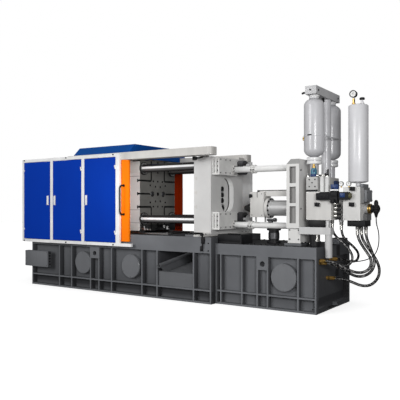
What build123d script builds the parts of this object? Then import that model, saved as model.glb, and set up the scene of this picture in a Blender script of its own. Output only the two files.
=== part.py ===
from build123d import *
import math
import os

# Cold chamber die casting machine: x runs from the clamp end to the shot end, the operator
# stands on the -y side, z is up and the floor is at 0. All lengths are millimetres.

# Base weldments
base_left = -2460.0
section_joint = 1075.0
base_right = 2482.0
clamp_base_half_depth = 682.0
clamp_base_height = 875.0
clamp_beam_height = 210.0
clamp_recess = 90.0
shot_base_half_depth = 575.0
shot_base_height = 792.0
shot_beam_height = 142.0
shot_recess = 75.0
end_recess = 62.0
end_flange_height = 60.0
end_notch_front = -216.0
end_notch_rear = 114.0
bottom_flange = 25.0
shelf_height = 175.0
shelf_thickness = 20.0
rib_thickness = 22.0
bay_left = 186.0
bay_right = 783.0
clamp_rib_shares = [0.1856, 0.2642, 0.3802, 0.43, 0.5027, 0.6682]
shot_rib_shares = [0.0569, 0.2826, 0.4397, 0.5428, 0.8328]
end_block_front = 182.0
end_block_rear = 495.0
end_block_length = 160.0
end_block_height = 70.0

# Round covers and lifting eyes of the base
cover_radius = 170.0
cover_thickness = 66.0
cover_level_share = 0.48
cover_shares = [0.3282, 0.6023]
shot_cover_share = 0.6956
eye_half_height = 76.0
eye_level_share = 0.806
eye_radius = 35.0

# Casting chute in the bay
chute_plate = 12.0
chute_lip_rise = 191.0
chute_rise = 184.0
chute_front_inset = 30.0
chute_rear_inset = 60.0
chute_cheek_x = 300.0
chute_rail_diameter = 56.0
chute_rail_bore = 44.0
chute_rail_front_rise = 92.0
chute_rail_reach = 148.0
chute_rail_rise = 172.0
chute_rail_length_y = 1100.0

# Tie bars and platens
die_axis_rise = 594.0
tie_bar_half_span_y = 345.0
tie_bar_half_span_z = 376.0
tie_bar_diameter = 118.0
bore_clearance = 6.0
fit_clearance = 0.3
platen_half_width = 430.0
platen_corner = 30.0
fixed_platen_left = 629.0
fixed_platen_right = 907.0
fixed_platen_rise = 496.0
foot_plate_thickness = 25.0
foot_plate_half_width = 640.0
moving_platen_face = -350.0
moving_platen_thickness = 300.0
moving_platen_rise = 503.0
tail_platen_left = -2300.0
tail_platen_right = -2020.0
tail_platen_rise = 471.0
tie_nut_diameter = 210.0
tie_nut_length = 95.0
tie_end_length = 40.0

# Recess and sleeve holes in the rear of the fixed platen
recess_width = 340.0
recess_depth = 90.0
recess_drop = 283.0
recess_rise = 221.0
sleeve_hole_radius = 31.0
sleeve_hole_pitch = 82.0
sleeve_hole_count = 3
sleeve_hole_rise = 75.0

# Retainer plates over the near tie bar ends
retainer_thickness = 116.0
retainer_front = -400.0
retainer_rear = 77.0
retainer_edge = 22.0
upper_retainer_low = 241.0
upper_retainer_high = 479.0
lower_retainer_low = 504.0
lower_retainer_high = 265.0

# T-slots and ejector holes of the die faces
slot_neck = 28.0
slot_neck_depth = 32.0
slot_head = 48.0
slot_head_depth = 22.0
slot_row_offset = 197.0
slot_corner_y = 162.0
slot_middle_y = 188.0
slot_centre_length = 190.0
hole_depth = 140.0
centre_hole_radius = 28.0
port_radius = 42.0
port_offset = 134.0
ejector_radius = 16.0
ejector_inner_y = 59.0
ejector_inner_z = 111.0
ejector_outer_y = 185.0
ejector_outer_z = 130.0
ejector_row_y = 112.0
ejector_row_z = 193.0

# Bushings, shoes and ways
bushing_diameter = 190.0
bushing_length = 22.0
way_width = 110.0
way_y = 365.0
way_thickness = 18.0
way_left = -1050.0
way_right = 172.0
shoe_length = 250.0
shoe_width = 126.0
shoe_height = 17.7

# Clamp cylinder behind the moving platen
clamp_cylinder_diameter = 330.0
clamp_cylinder_length = 780.0
clamp_flange_diameter = 470.0
clamp_flange_length = 60.0
clamp_rod_diameter = 170.0
clamp_rod_inside = 600.0
clamp_rod_flange_diameter = 320.0
clamp_rod_flange_length = 60.0
clamp_gland_length = 120.0
clamp_bore_clearance = 12.0

# Guards
guard_overhang = 140.0
guard_right = -445.0
guard_drop = 172.0
guard_height = 1344.0
guard_reach = 88.0
guard_depth = 35.0
guard_jamb = 42.0
guard_right_jamb = 75.0
guard_mullion = 60.0
guard_rail = 46.0
door_gap = 6.0
door_thickness = 30.0
door_count = 3
door_fold = 12.0
guard_foot_length = 90.0
guard_foot_height = 40.0
hinge_barrel = 16.0
hinge_pin = 8.0
hinge_half = 28.0
hinge_leaf = 3.0
hinge_leaf_width = 24.0
hinge_offset = 9.0
hinge_inset = 150.0
pull_width = 38.0
pull_height = 150.0
pull_depth = 6.0
pull_inset = 24.0
lower_guide_length = 220.0
lower_guide_height = 44.0

# Door tracks above the die space
track_left = -1560.0
track_right = 1110.0
track_rise = 486.0
track_width = 175.0
track_neck = 20.0
track_lip = 12.0
track_chamber_width = 44.0
track_head_room = 16.0
track_roof = 31.0
track_end_wall = 64.0
track_corner = 60.0
track_bracket_left = 720.0
track_bracket_right = 860.0
track_bracket_height = 40.0
rear_post_length = 186.0

# Sliding safety doors
safety_door_right = -307.0
rear_door_shift = -93.0
safety_door_length = 1030.0
safety_door_thickness = 30.0
safety_door_lift = 26.0
safety_door_drop = 8.0
safety_door_wall = 3.0
safety_door_rim = 42.0
hanger_length = 120.0
hanger_thickness = 9.0
hanger_inset = 60.0
roller_diameter = 46.0
roller_width = 24.0
handle_height = 430.0
handle_depth = 95.0
handle_corner = 45.0
handle_bar = 14.0
handle_inset = 95.0
rear_handle_depth = 38.0
rear_handle_corner = 25.0
rear_handle_inset = 33.0
handle_rise = 600.0

# Hood over the clamp
hood_left = -1468.0
hood_right = -326.0
hood_side_inset = 35.0
hood_top_half_width = 566.0
hood_rise = 131.0
hood_sheet = 6.0
hood_skirt_drop = 68.0
hood_skirt_half_width = 540.0

# Shot end
shot_axis_drop = 212.0
shot_frame_left = 2014.0
shot_frame_right = 2184.0
shot_frame_front = -400.0
shot_frame_rear = 230.0
shot_frame_lift = 217.0
shot_frame_height = 859.0
shot_frame_chamfer = 60.0
shot_pocket_left_share = 0.25
shot_pocket_right_share = 0.74
shot_pocket_rows_share = [(0.071, 0.316), (0.361, 0.6), (0.651, 0.892)]
shot_pocket_depth = 45.0
shot_foot_inset = 40.0
shot_plate_thickness = 30.0
shot_plate_margin = 30.0
upper_rod_rise = 323.0
lower_rod_drop = 447.0
shot_rod_diameter = 84.0
collar_diameter = 116.0
collar_ring = 20.0
upper_collar_x = 1304.0
lower_collar_x = 1262.0
collar_length = 63.0
shot_cylinder_diameter = 206.0
shot_cylinder_left = 1600.0
shot_flange_diameter = 275.0
shot_flange_length = 45.0
coupling_left = 1331.0
coupling_right = 1541.0
coupling_half_width = 100.0
coupling_drop = 124.0
coupling_rise = 219.0
guide_half_width = 60.0
guide_low_rise = 159.0
guide_high_rise = 232.0
plunger_diameter = 90.0
gaiter_diameter = 146.0
gaiter_tip_diameter = 58.0
gaiter_length = 135.0
sleeve_diameter = 110.0
sleeve_bore = 70.0
jack_x = 1640.0
jack_diameter = 140.0
jack_flange_diameter = 190.0
jack_flange_length = 22.0
tray_length = 358.0
tray_front = -520.0
tray_rear = -200.0
tray_height = 116.0
tray_corner = 20.0

# Hydraulic blocks beyond the shot frame
arm_drop = 70.0
arm_height = 87.0
arm_right = 2590.0
arm_front = -400.0
arm_rear = -300.0
post_x = 2546.0
post_diameter = 88.0
post_length = 279.0
leg_diameter = 56.0
leg_inset = 62.0
leg_height = 89.0
front_manifold_left = 2279.0
front_manifold_right = 2596.0
manifold_front = -400.0
front_manifold_rear = -194.0
front_manifold_height = 342.0
valve_block_right = 2425.0
valve_block_height = 182.0
cartridge_diameter = 58.0
cartridge_places = [(2461.0, -345.0), (2461.0, -255.0), (2527.0, -345.0)]
rear_manifold_right = 2400.0
rear_manifold_rear = 390.0
rear_manifold_height = 535.0
end_manifold_left = 2742.0
end_manifold_right = 2947.0
end_manifold_rear = -40.0
end_manifold_height = 392.0
side_plate_width = 220.0
side_plate_low = 206.0
side_plate_high = 382.0
side_plate_thickness = 43.0
ledge_front = -300.0
ledge_rear = -120.0
ledge_height = 76.0
bridge_front = -330.0
bridge_rear = -210.0
bridge_low = 185.0
bridge_high = 325.0
column_x = 2668.0
column_y = -250.0
column_diameter = 56.0
column_drop = 22.0
hose_plate_left = 2778.0
hose_plate_right = 2990.0
hose_plate_front = -360.0
hose_plate_rear = -140.0
hose_plate_thickness = 72.0
valve_depth = 70.0
valve_row = [(2435.0, 2610.0, 240.0, 325.0), (2610.0, 2696.0, 204.0, 347.0),
             (2714.0, 2829.0, 242.0, 333.0)]
port_diameter = 120.0
port_length = 43.0
port_y = -230.0
port_rise = 136.0
plug_left = 2990.0
plug_right = 3124.0
plug_half_width = 50.0
plug_drop = 101.0
plug_rise = 104.0
plug_corner = 25.0

# Accumulators and nitrogen bottle
accumulator_diameter = 250.0
accumulator_x = 2334.0
accumulator_y = 285.0
accumulator_ring_rise = 159.0
accumulator_ring_diameter = 200.0
accumulator_ring_height = 87.0
accumulator_height = 728.0
accumulator_dome = 90.0
accumulator_neck_diameter = 100.0
accumulator_neck_length = 37.0
dome_radius_shares = [0.0, 0.5, 0.8, 0.95, 1.0]
dome_height_shares = [0.0, 0.134, 0.4, 0.688, 1.0]
head_left = 2263.0
head_right = 2408.0
head_half_length = 400.0
head_height = 100.0
pipe_diameter = 120.0
pipe_x = 2340.0
pipe_y = 95.0
bottle_x = 2876.0
bottle_y = -250.0
bottle_diameter = 232.0
bottle_lift = 46.0
bottle_height = 937.0
bottle_dome = 24.0
bottle_neck_diameter = 60.0
gauge_shift = -56.0
gauge_diameter = 84.0
gauge_depth = 36.0
gauge_stem = 22.0
gauge_height = 125.0
knob_shift = 45.0
knob_diameter = 62.0
knob_thickness = 30.0
knob_height = 60.0

# Terminal box at the lower left corner
box_overhang = 90.0
box_length = 555.0
box_bottom = 306.0
box_height = 254.0
box_depth = 68.0
box_corner = 8.0

# Hoses
hose_diameter = 34.0
small_hose_diameter = 30.0
cable_diameter = 12.0
fitting_diameter = 46.0
fitting_length = 34.0
hose_bend = 0.45

right_angle = 90.0

# Heights and faces that follow from the dimensions above
die_axis_height = clamp_base_height + die_axis_rise
shot_axis_height = die_axis_height - shot_axis_drop
bay_low = shelf_height + shelf_thickness / 2
bay_high = clamp_base_height - clamp_beam_height
shot_beam_bottom = shot_base_height - shot_beam_height
clamp_section_length = section_joint - base_left
shot_section_length = base_right - section_joint
clamp_wall = clamp_base_half_depth - clamp_recess
shot_wall = shot_base_half_depth - shot_recess
moving_platen_back = moving_platen_face - moving_platen_thickness
moving_platen_bottom = clamp_base_height + way_thickness + fit_clearance + shoe_height
moving_platen_top = die_axis_height + moving_platen_rise
fixed_platen_bottom = clamp_base_height + foot_plate_thickness
fixed_platen_top = die_axis_height + fixed_platen_rise
tail_platen_top = die_axis_height + tail_platen_rise
retainer_right = fixed_platen_right + retainer_thickness
clamp_cylinder_end = tail_platen_right + clamp_cylinder_length
guard_left = base_left - guard_overhang
guard_front = clamp_base_half_depth + guard_reach
guard_back = guard_front - guard_depth
guard_bottom = clamp_base_height - guard_drop
guard_top = guard_bottom + guard_height
track_bottom = die_axis_height + track_rise
track_top = track_bottom + track_lip + roller_diameter + track_head_room + track_roof
safety_door_bottom = guard_bottom + lower_guide_height + safety_door_lift
safety_door_top = track_bottom - safety_door_drop
safety_door_inner = (clamp_base_half_depth + guard_back - safety_door_thickness) / 2
safety_door_outer = safety_door_inner + safety_door_thickness
slot_centre_y = safety_door_inner + safety_door_thickness / 2
shot_frame_bottom = shot_base_height + shot_frame_lift
shot_frame_top = shot_frame_bottom + shot_frame_height
upper_rod_z = die_axis_height + upper_rod_rise
lower_rod_z = die_axis_height - lower_rod_drop
sleeve_end = fixed_platen_right - recess_depth
arm_bottom = shot_frame_bottom - arm_drop
arm_top = arm_bottom + arm_height
manifold_bottom = arm_top + leg_height
front_manifold_top = manifold_bottom + front_manifold_height
valve_block_top = front_manifold_top + valve_block_height
rear_manifold_top = manifold_bottom + rear_manifold_height
end_manifold_top = manifold_bottom + end_manifold_height
hose_plate_bottom = manifold_bottom - hose_plate_thickness
arm_middle_y = (arm_front + arm_rear) / 2
ring_bottom = valve_block_top + accumulator_ring_rise
accumulator_bottom = ring_bottom + accumulator_ring_height
accumulator_top = accumulator_bottom + accumulator_height
head_bottom = accumulator_top + accumulator_neck_length
head_top = head_bottom + head_height
bottle_bottom = end_manifold_top + bottle_lift
bottle_top = bottle_bottom + bottle_height


def block(x_span, y_span, z_span):
    """Rectangular solid between three pairs of coordinates."""
    centre = [(low + high) / 2 for low, high in (x_span, y_span, z_span)]
    size = [high - low for low, high in (x_span, y_span, z_span)]
    return Pos(*centre) * Box(*size)


def bar_x(x_span, y, z, diameter):
    """Round bar along x."""
    low, high = x_span
    return Pos((low + high) / 2, y, z) * Rot(0, right_angle, 0) * Cylinder(diameter / 2, high - low)


def bar_y(x, y_span, z, diameter):
    """Round bar along y."""
    low, high = y_span
    return Pos(x, (low + high) / 2, z) * Rot(right_angle, 0, 0) * Cylinder(diameter / 2, high - low)


def bar_z(x, y, z_span, diameter):
    """Round bar along z."""
    low, high = z_span
    return Pos(x, y, (low + high) / 2) * Cylinder(diameter / 2, high - low)


def both_sides(y_span):
    """A span in front of the machine and its mirror behind."""
    low, high = y_span
    return [(low, high), (-high, -low)]


def tie_bar_places():
    """Centres of the four tie bars in y and z."""
    return [(side * tie_bar_half_span_y, die_axis_height + level * tie_bar_half_span_z)
            for side in (-1, 1) for level in (-1, 1)]


def clamp_rib_spans():
    """Thickness spans along x of the ribs below the clamp, outer faces and bay edges included."""
    centres = [base_left + share * clamp_section_length for share in clamp_rib_shares]
    half = rib_thickness / 2
    spans = [(base_left, base_left + rib_thickness)]
    spans += [(centre - half, centre + half) for centre in centres]
    spans += [(bay_left - rib_thickness, bay_left), (bay_right, bay_right + rib_thickness)]
    return spans + [(section_joint - rib_thickness, section_joint)]


def shot_rib_spans():
    """Thickness spans along x of the ribs below the shot end."""
    centres = [section_joint + share * shot_section_length for share in shot_rib_shares]
    half = rib_thickness / 2
    spans = [(section_joint, section_joint + rib_thickness)]
    spans += [(centre - half, centre + half) for centre in centres]
    return spans + [(base_right - rib_thickness, base_right)]


def clamp_sides():
    """The recess spans in y on both sides of the clamp base."""
    return both_sides((-clamp_base_half_depth, -clamp_wall))


def shot_sides():
    """The recess spans in y on both sides of the shot base."""
    return both_sides((-shot_base_half_depth, -shot_wall))


def base_clamp_section():
    """The two closed boxes of the clamp base, left and right of the chute bay."""
    return [block(x_span, (-clamp_wall, clamp_wall), (0, clamp_base_height))
            for x_span in ((base_left, bay_left), (bay_right, section_joint))]


def base_low_sections():
    """Low box under the chute, and the lower, narrower box of the shot end, set back at its end."""
    return [block((bay_left, bay_right), (-clamp_wall, clamp_wall), (0, bay_low)),
            block((section_joint, base_right - end_recess), (-shot_wall, shot_wall), (0, shot_base_height))]


def base_beams():
    """Top beams and bottom flanges along both sides of the base."""
    beams = []
    for y_span in clamp_sides():
        beams.append(block((base_left, section_joint), y_span, (bay_high, clamp_base_height)))
        beams.append(block((base_left, section_joint), y_span, (0, bottom_flange)))
    for y_span in shot_sides():
        beams.append(block((section_joint, base_right), y_span, (shot_beam_bottom, shot_base_height)))
        beams.append(block((section_joint, base_right), y_span, (0, bottom_flange)))
    return beams


def base_ribs():
    """Upright ribs between the flanges and the beams."""
    ribs = []
    for x_span in clamp_rib_spans():
        ribs += [block(x_span, y_span, (bottom_flange, bay_high)) for y_span in clamp_sides()]
    for x_span in shot_rib_spans():
        ribs += [block(x_span, y_span, (bottom_flange, shot_beam_bottom)) for y_span in shot_sides()]
    return ribs


def base_stiffeners():
    """Shelves between the ribs, and the top beam and notched bottom flange across the end face."""
    pieces = []
    z_span = (shelf_height - shelf_thickness / 2, bay_low)
    for spans, sides in ((clamp_rib_spans(), clamp_sides()), (shot_rib_spans(), shot_sides())):
        for left, right in zip(spans, spans[1:]):
            pieces += [block((left[1], right[0]), y_span, z_span) for y_span in sides]
    x_span = (base_right - end_recess, base_right)
    pieces.append(block(x_span, (-shot_wall, shot_wall), (shot_beam_bottom, shot_base_height)))
    for y_span in ((-shot_wall, end_notch_front), (end_notch_rear, shot_wall)):
        pieces.append(block(x_span, y_span, (0, end_flange_height)))
    return pieces


def lifting_eyes():
    """Thick plates with a round eye between two ribs of each section."""
    plates = []
    for spans, first, sides, beam_bottom in ((clamp_rib_spans(), 3, clamp_sides(), bay_high),
                                             (shot_rib_spans(), 3, shot_sides(), shot_beam_bottom)):
        x_span = (spans[first][1], spans[first + 1][0])
        middle = (x_span[0] + x_span[1]) / 2
        level = bay_low + eye_level_share * (beam_bottom - bay_low)
        for y_span in sides:
            plate = block(x_span, y_span, (level - eye_half_height, beam_bottom))
            plates.append(plate - bar_y(middle, y_span, level, eye_radius * 2))
    return plates


def base_plates():
    """Lifting eyes, the sole plates of fixed platen and shot frame, and a block on the far corner."""
    plates = lifting_eyes()
    plates.append(block((fixed_platen_left, fixed_platen_right),
                        (-foot_plate_half_width, foot_plate_half_width),
                        (clamp_base_height, fixed_platen_bottom)))
    plates.append(block((shot_frame_left - shot_plate_margin, shot_frame_right + shot_plate_margin),
                        (shot_frame_front, shot_frame_rear),
                        (shot_base_height, shot_base_height + shot_plate_thickness)))
    plates.append(block((base_right - end_block_length, base_right), (end_block_front, end_block_rear),
                        (shot_base_height, shot_base_height + end_block_height)))
    return plates


def base_covers():
    """Six round covers, three on each long side, seated on the recessed walls."""
    covers = []
    clamp_level = bay_low + cover_level_share * (bay_high - bay_low)
    shot_level = bay_low + cover_level_share * (shot_beam_bottom - bay_low)
    for side in (-1, 1):
        seats = [(base_left + share * clamp_section_length, clamp_wall, clamp_level)
                 for share in cover_shares]
        seats.append((section_joint + shot_cover_share * shot_section_length, shot_wall, shot_level))
        for x, wall, level in seats:
            y_span = sorted((side * wall, side * (wall + cover_thickness)))
            covers.append(bar_y(x, y_span, level, cover_radius * 2))
    return covers


def casting_chute():
    """Sloping floor, front lip and railed left cheek that lead the castings out."""
    front_y = -clamp_base_half_depth + chute_front_inset
    rear_y = clamp_base_half_depth - chute_rear_inset
    lip_top = bay_low + chute_lip_rise
    rear_top = lip_top + chute_rise
    with BuildPart() as chute:
        with BuildSketch(Plane.YZ.offset(bay_left)):
            Polygon((front_y, bay_low), (front_y + chute_plate, bay_low),
                    (front_y + chute_plate, lip_top - chute_plate),
                    (rear_y, rear_top - chute_plate), (rear_y, rear_top),
                    (front_y, lip_top), align=None)
        extrude(amount=bay_right - bay_left)
    rail_front = (front_y - chute_rail_reach, lip_top + chute_rail_front_rise)
    rail_rear = (rail_front[0] + chute_rail_length_y, rail_front[1] + chute_rail_rise)
    slope = chute_rail_rise / chute_rail_length_y
    with BuildPart() as cheek:
        with BuildSketch(Plane.YZ.offset(chute_cheek_x - chute_plate / 2)):
            Polygon((front_y, lip_top), (rear_y, rear_top), rail_rear,
                    (front_y, rail_front[1] + slope * chute_rail_reach), rail_front, align=None)
        extrude(amount=chute_plate)
    length = math.hypot(chute_rail_rise, chute_rail_length_y)
    tilt = math.degrees(math.atan(slope))
    middle = Pos(chute_cheek_x, (rail_front[0] + rail_rear[0]) / 2, (rail_front[1] + rail_rear[1]) / 2)
    lying = middle * Rot(tilt, 0, 0) * Rot(right_angle, 0, 0)
    rail = lying * Cylinder(chute_rail_diameter / 2, length)
    bore = lying * Cylinder(chute_rail_bore / 2, length)
    return chute.part + (cheek.part + rail - bore)


def slide_ways():
    """Two hardened strips that the moving platen's shoes run on."""
    return [block((way_left, way_right), (side * way_y - way_width / 2, side * way_y + way_width / 2),
                  (clamp_base_height, clamp_base_height + way_thickness)) for side in (-1, 1)]


def tee_slot(face_x, inward, start, end):
    """T-slot cutter in a face normal to x, along y or z between two points."""
    (y0, z0), (y1, z1) = start, end
    neck_x = sorted((face_x, face_x + inward * slot_neck_depth))
    head_x = sorted((face_x + inward * slot_neck_depth,
                     face_x + inward * (slot_neck_depth + slot_head_depth)))
    along_y = z0 == z1
    cutters = []
    for x_span, width in ((neck_x, slot_neck), (head_x, slot_head)):
        half = width / 2
        y_span = (min(y0, y1) - (0 if along_y else half), max(y0, y1) + (0 if along_y else half))
        z_span = (min(z0, z1) - (half if along_y else 0), max(z0, z1) + (half if along_y else 0))
        cutters.append(block(x_span, y_span, z_span))
    return cutters


def die_face_slots(face_x, inward, low, high):
    """Slots of a die face: cornered pairs above and below, one row between, short centre slots."""
    cutters = []
    edge = platen_half_width
    for level, rim in ((1, high), (-1, low)):
        row_z = die_axis_height + level * slot_row_offset
        for side in (-1, 1):
            corner = (side * slot_corner_y, row_z)
            cutters += tee_slot(face_x, inward, corner, (side * edge, row_z))
            cutters += tee_slot(face_x, inward, corner, (side * slot_corner_y, rim))
        cutters += tee_slot(face_x, inward, (0, rim - level * slot_centre_length), (0, rim))
    for side in (-1, 1):
        cutters += tee_slot(face_x, inward, (side * slot_middle_y, die_axis_height),
                            (side * edge, die_axis_height))
    return cutters


def platen_block(x_span, z_span, bore_diameter):
    """Rounded plate with the four tie bar bores."""
    body = block(x_span, (-platen_half_width, platen_half_width), z_span)
    body = fillet(body.edges().filter_by(Axis.X), platen_corner)
    for y, z in tie_bar_places():
        body = body - bar_x(x_span, y, z, bore_diameter)
    return body


def ejector_holes():
    """Blind holes in the moving platen's die face: centre, two ports and the ejector pattern."""
    x_span = (moving_platen_face - hole_depth, moving_platen_face)
    holes = [bar_x(x_span, 0, die_axis_height, centre_hole_radius * 2)]
    for side in (-1, 1):
        holes.append(bar_x(x_span, side * port_offset, die_axis_height, port_radius * 2))
    pattern = [(ejector_inner_y, ejector_inner_z), (ejector_outer_y, ejector_outer_z),
               (ejector_row_y, ejector_row_z)]
    for y, z in pattern:
        for side in (-1, 1):
            for level in (-1, 1):
                holes.append(bar_x(x_span, side * y, die_axis_height + level * z, ejector_radius * 2))
    for level in (-1, 1):
        holes.append(bar_x(x_span, 0, die_axis_height + level * ejector_row_z, ejector_radius * 2))
    return holes


def moving_platen():
    """Plate that carries the ejector half of the die."""
    body = platen_block((moving_platen_back, moving_platen_face),
                        (moving_platen_bottom, moving_platen_top), tie_bar_diameter + bore_clearance * 2)
    body = body - die_face_slots(moving_platen_face, -1, moving_platen_bottom, moving_platen_top)
    return body - ejector_holes()


def platen_bushings():
    """Black wiper rings round the tie bars on the moving platen's die face."""
    rings = []
    x_span = (moving_platen_face, moving_platen_face + bushing_length)
    for y, z in tie_bar_places():
        ring = bar_x(x_span, y, z, bushing_diameter)
        rings.append(ring - bar_x(x_span, y, z, tie_bar_diameter + fit_clearance * 2))
    return rings


def platen_shoes():
    """Feet under the moving platen that rest on the ways."""
    middle = (moving_platen_back + moving_platen_face) / 2
    bottom = clamp_base_height + way_thickness + fit_clearance
    return [block((middle - shoe_length / 2, middle + shoe_length / 2),
                  (side * way_y - shoe_width / 2, side * way_y + shoe_width / 2),
                  (bottom, moving_platen_bottom)) for side in (-1, 1)]


def fixed_platen():
    """Plate that carries the cover half of the die, recessed at the rear round the sleeve holes."""
    x_span = (fixed_platen_left, fixed_platen_right)
    body = platen_block(x_span, (fixed_platen_bottom, fixed_platen_top),
                        tie_bar_diameter + fit_clearance * 2)
    body = body - die_face_slots(fixed_platen_left, 1, fixed_platen_bottom, fixed_platen_top)
    recess_x = (sleeve_end, fixed_platen_right)
    low = die_axis_height - recess_drop + recess_width / 2
    high = die_axis_height + recess_rise - recess_width / 2
    body = body - block(recess_x, (-recess_width / 2, recess_width / 2), (low, high))
    for end in (low, high):
        body = body - bar_x(recess_x, 0, end, recess_width)
    for index in range(sleeve_hole_count):
        z = shot_axis_height + sleeve_hole_rise + sleeve_hole_radius + index * sleeve_hole_pitch
        body = body - bar_x((fixed_platen_left, sleeve_end), 0, z, sleeve_hole_radius * 2)
    return body - bar_x((fixed_platen_left, sleeve_end), 0, shot_axis_height,
                        sleeve_diameter + fit_clearance * 2)


def retainer_plates():
    """I-shaped plates over the near tie bar ends; the shot frame's rods stand on them."""
    plates = []
    middle = (fixed_platen_right + retainer_right) / 2
    for low, high in ((die_axis_height + upper_retainer_low, die_axis_height + upper_retainer_high),
                      (die_axis_height - lower_retainer_low, die_axis_height - lower_retainer_high)):
        plate = block((fixed_platen_right, retainer_right), (retainer_front, retainer_rear), (low, high))
        for x_span in ((fixed_platen_right + retainer_edge, middle - retainer_edge / 2),
                       (middle + retainer_edge / 2, retainer_right - retainer_edge)):
            plate = plate - block(x_span, (retainer_front, retainer_front + retainer_edge),
                                  (low + retainer_edge, high - retainer_edge))
        plates.append(plate)
    return plates


def tail_platen():
    """Plate at the far end that takes the clamp force."""
    return platen_block((tail_platen_left, tail_platen_right), (clamp_base_height, tail_platen_top),
                        tie_bar_diameter + fit_clearance * 2)


def tie_bars():
    """Four round bars; the near pair ends under the retainers, the far pair in nuts."""
    left = tail_platen_left - tie_nut_length - tie_end_length
    bars = []
    for y, z in tie_bar_places():
        right = fixed_platen_right if y < 0 else fixed_platen_right + tie_nut_length + tie_end_length
        bars.append(bar_x((left, right), y, z, tie_bar_diameter))
    return bars


def tie_bar_nuts():
    """Retainer plates on the near ends at the shot side, round nuts on the other ends."""
    nuts = retainer_plates()
    for y, z in tie_bar_places():
        for low in (tail_platen_left - tie_nut_length, fixed_platen_right):
            if y < 0 and low == fixed_platen_right:
                continue
            x_span = (low, low + tie_nut_length)
            bore = bar_x(x_span, y, z, tie_bar_diameter)
            nuts.append(bar_x(x_span, y, z, tie_nut_diameter) - bore)
    return nuts


def clamp_cylinder():
    """Clamp cylinder bolted to the tail platen, open towards the moving platen."""
    body = bar_x((tail_platen_right, clamp_cylinder_end), 0, die_axis_height, clamp_cylinder_diameter)
    flange = bar_x((tail_platen_right, tail_platen_right + clamp_flange_length), 0, die_axis_height,
                   clamp_flange_diameter)
    gland = bar_x((clamp_cylinder_end - clamp_gland_length, clamp_cylinder_end), 0, die_axis_height,
                  clamp_rod_diameter + fit_clearance * 2)
    bore = bar_x((tail_platen_right + clamp_flange_length, clamp_cylinder_end - clamp_gland_length), 0,
                 die_axis_height, clamp_rod_diameter + clamp_bore_clearance * 2)
    return body + flange - gland - bore


def clamp_rod():
    """Rod and flange that push the moving platen."""
    rod = bar_x((clamp_cylinder_end - clamp_rod_inside, moving_platen_back), 0, die_axis_height,
                clamp_rod_diameter)
    flange = bar_x((moving_platen_back - clamp_rod_flange_length, moving_platen_back), 0,
                   die_axis_height, clamp_rod_flange_diameter)
    return rod + flange


# Places of the guard doors
guard_posts_width = guard_jamb + guard_right_jamb + guard_mullion * (door_count - 1)
guard_inner_width = guard_right - guard_left - guard_posts_width
door_opening = guard_inner_width / door_count
door_openings = [(guard_left + guard_jamb + index * (door_opening + guard_mullion),
                  guard_left + guard_jamb + index * (door_opening + guard_mullion) + door_opening)
                 for index in range(door_count)]
door_hinge_sides = [-1, 1, 1]
guard_opening_z = (guard_bottom + guard_rail, guard_top - guard_rail)
hinge_heights = [guard_bottom + guard_rail + hinge_inset, guard_top - guard_rail - hinge_inset]
hinge_y = -guard_front - hinge_offset


def guard_frame(side):
    """White frame with three openings on one side, with feet on the base beam."""
    y_span = sorted((side * guard_front, side * guard_back))
    frame = block((guard_left, guard_right), y_span, (guard_bottom, guard_top))
    for opening in door_openings:
        frame = frame - block(opening, y_span, guard_opening_z)
    foot_y = sorted((side * clamp_base_half_depth, side * guard_back))
    for low in (base_left, (base_left + guard_right) / 2, guard_right - guard_foot_length):
        frame = frame + block((low, low + guard_foot_length), foot_y,
                              (guard_bottom, guard_bottom + guard_foot_height))
    return frame


def hinge_x(index):
    """Hinge line of a guard door, on the edge of its opening."""
    low, high = door_openings[index]
    return low if door_hinge_sides[index] < 0 else high


def frame_hinges(index):
    """Pins and lower knuckles that the frame carries."""
    x = hinge_x(index)
    outward = door_hinge_sides[index]
    parts = []
    for height in hinge_heights:
        knuckle = bar_z(x, hinge_y, (height - hinge_half, height), hinge_barrel)
        pin = bar_z(x, hinge_y, (height, height + hinge_half - hinge_leaf), hinge_pin)
        leaf = block(sorted((x, x + outward * hinge_leaf_width)), (-guard_front - hinge_leaf, -guard_front),
                     (height - hinge_half, height))
        arm = block(sorted((x, x + outward * hinge_barrel / 2)), (hinge_y, -guard_front),
                    (height - hinge_half, height))
        parts.append(knuckle + leaf + arm + pin)
    return parts


def front_guard_frame():
    """Operator side frame with hinge pins and the short lower guide of the sliding door."""
    frame = guard_frame(-1)
    for index in range(door_count):
        for part in frame_hinges(index):
            frame = frame + part
    guide = block((guard_right, guard_right + lower_guide_length), (-guard_front, -guard_back),
                  (guard_bottom, guard_bottom + lower_guide_height))
    return frame + guide


def rear_guard_frame():
    """Plain rear frame, and the upright sheet that carries the far end of the rear track."""
    post = block((fixed_platen_right - rear_post_length, fixed_platen_right),
                 (clamp_base_half_depth, guard_back), (guard_bottom, track_bottom))
    return [guard_frame(1), post]


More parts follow.
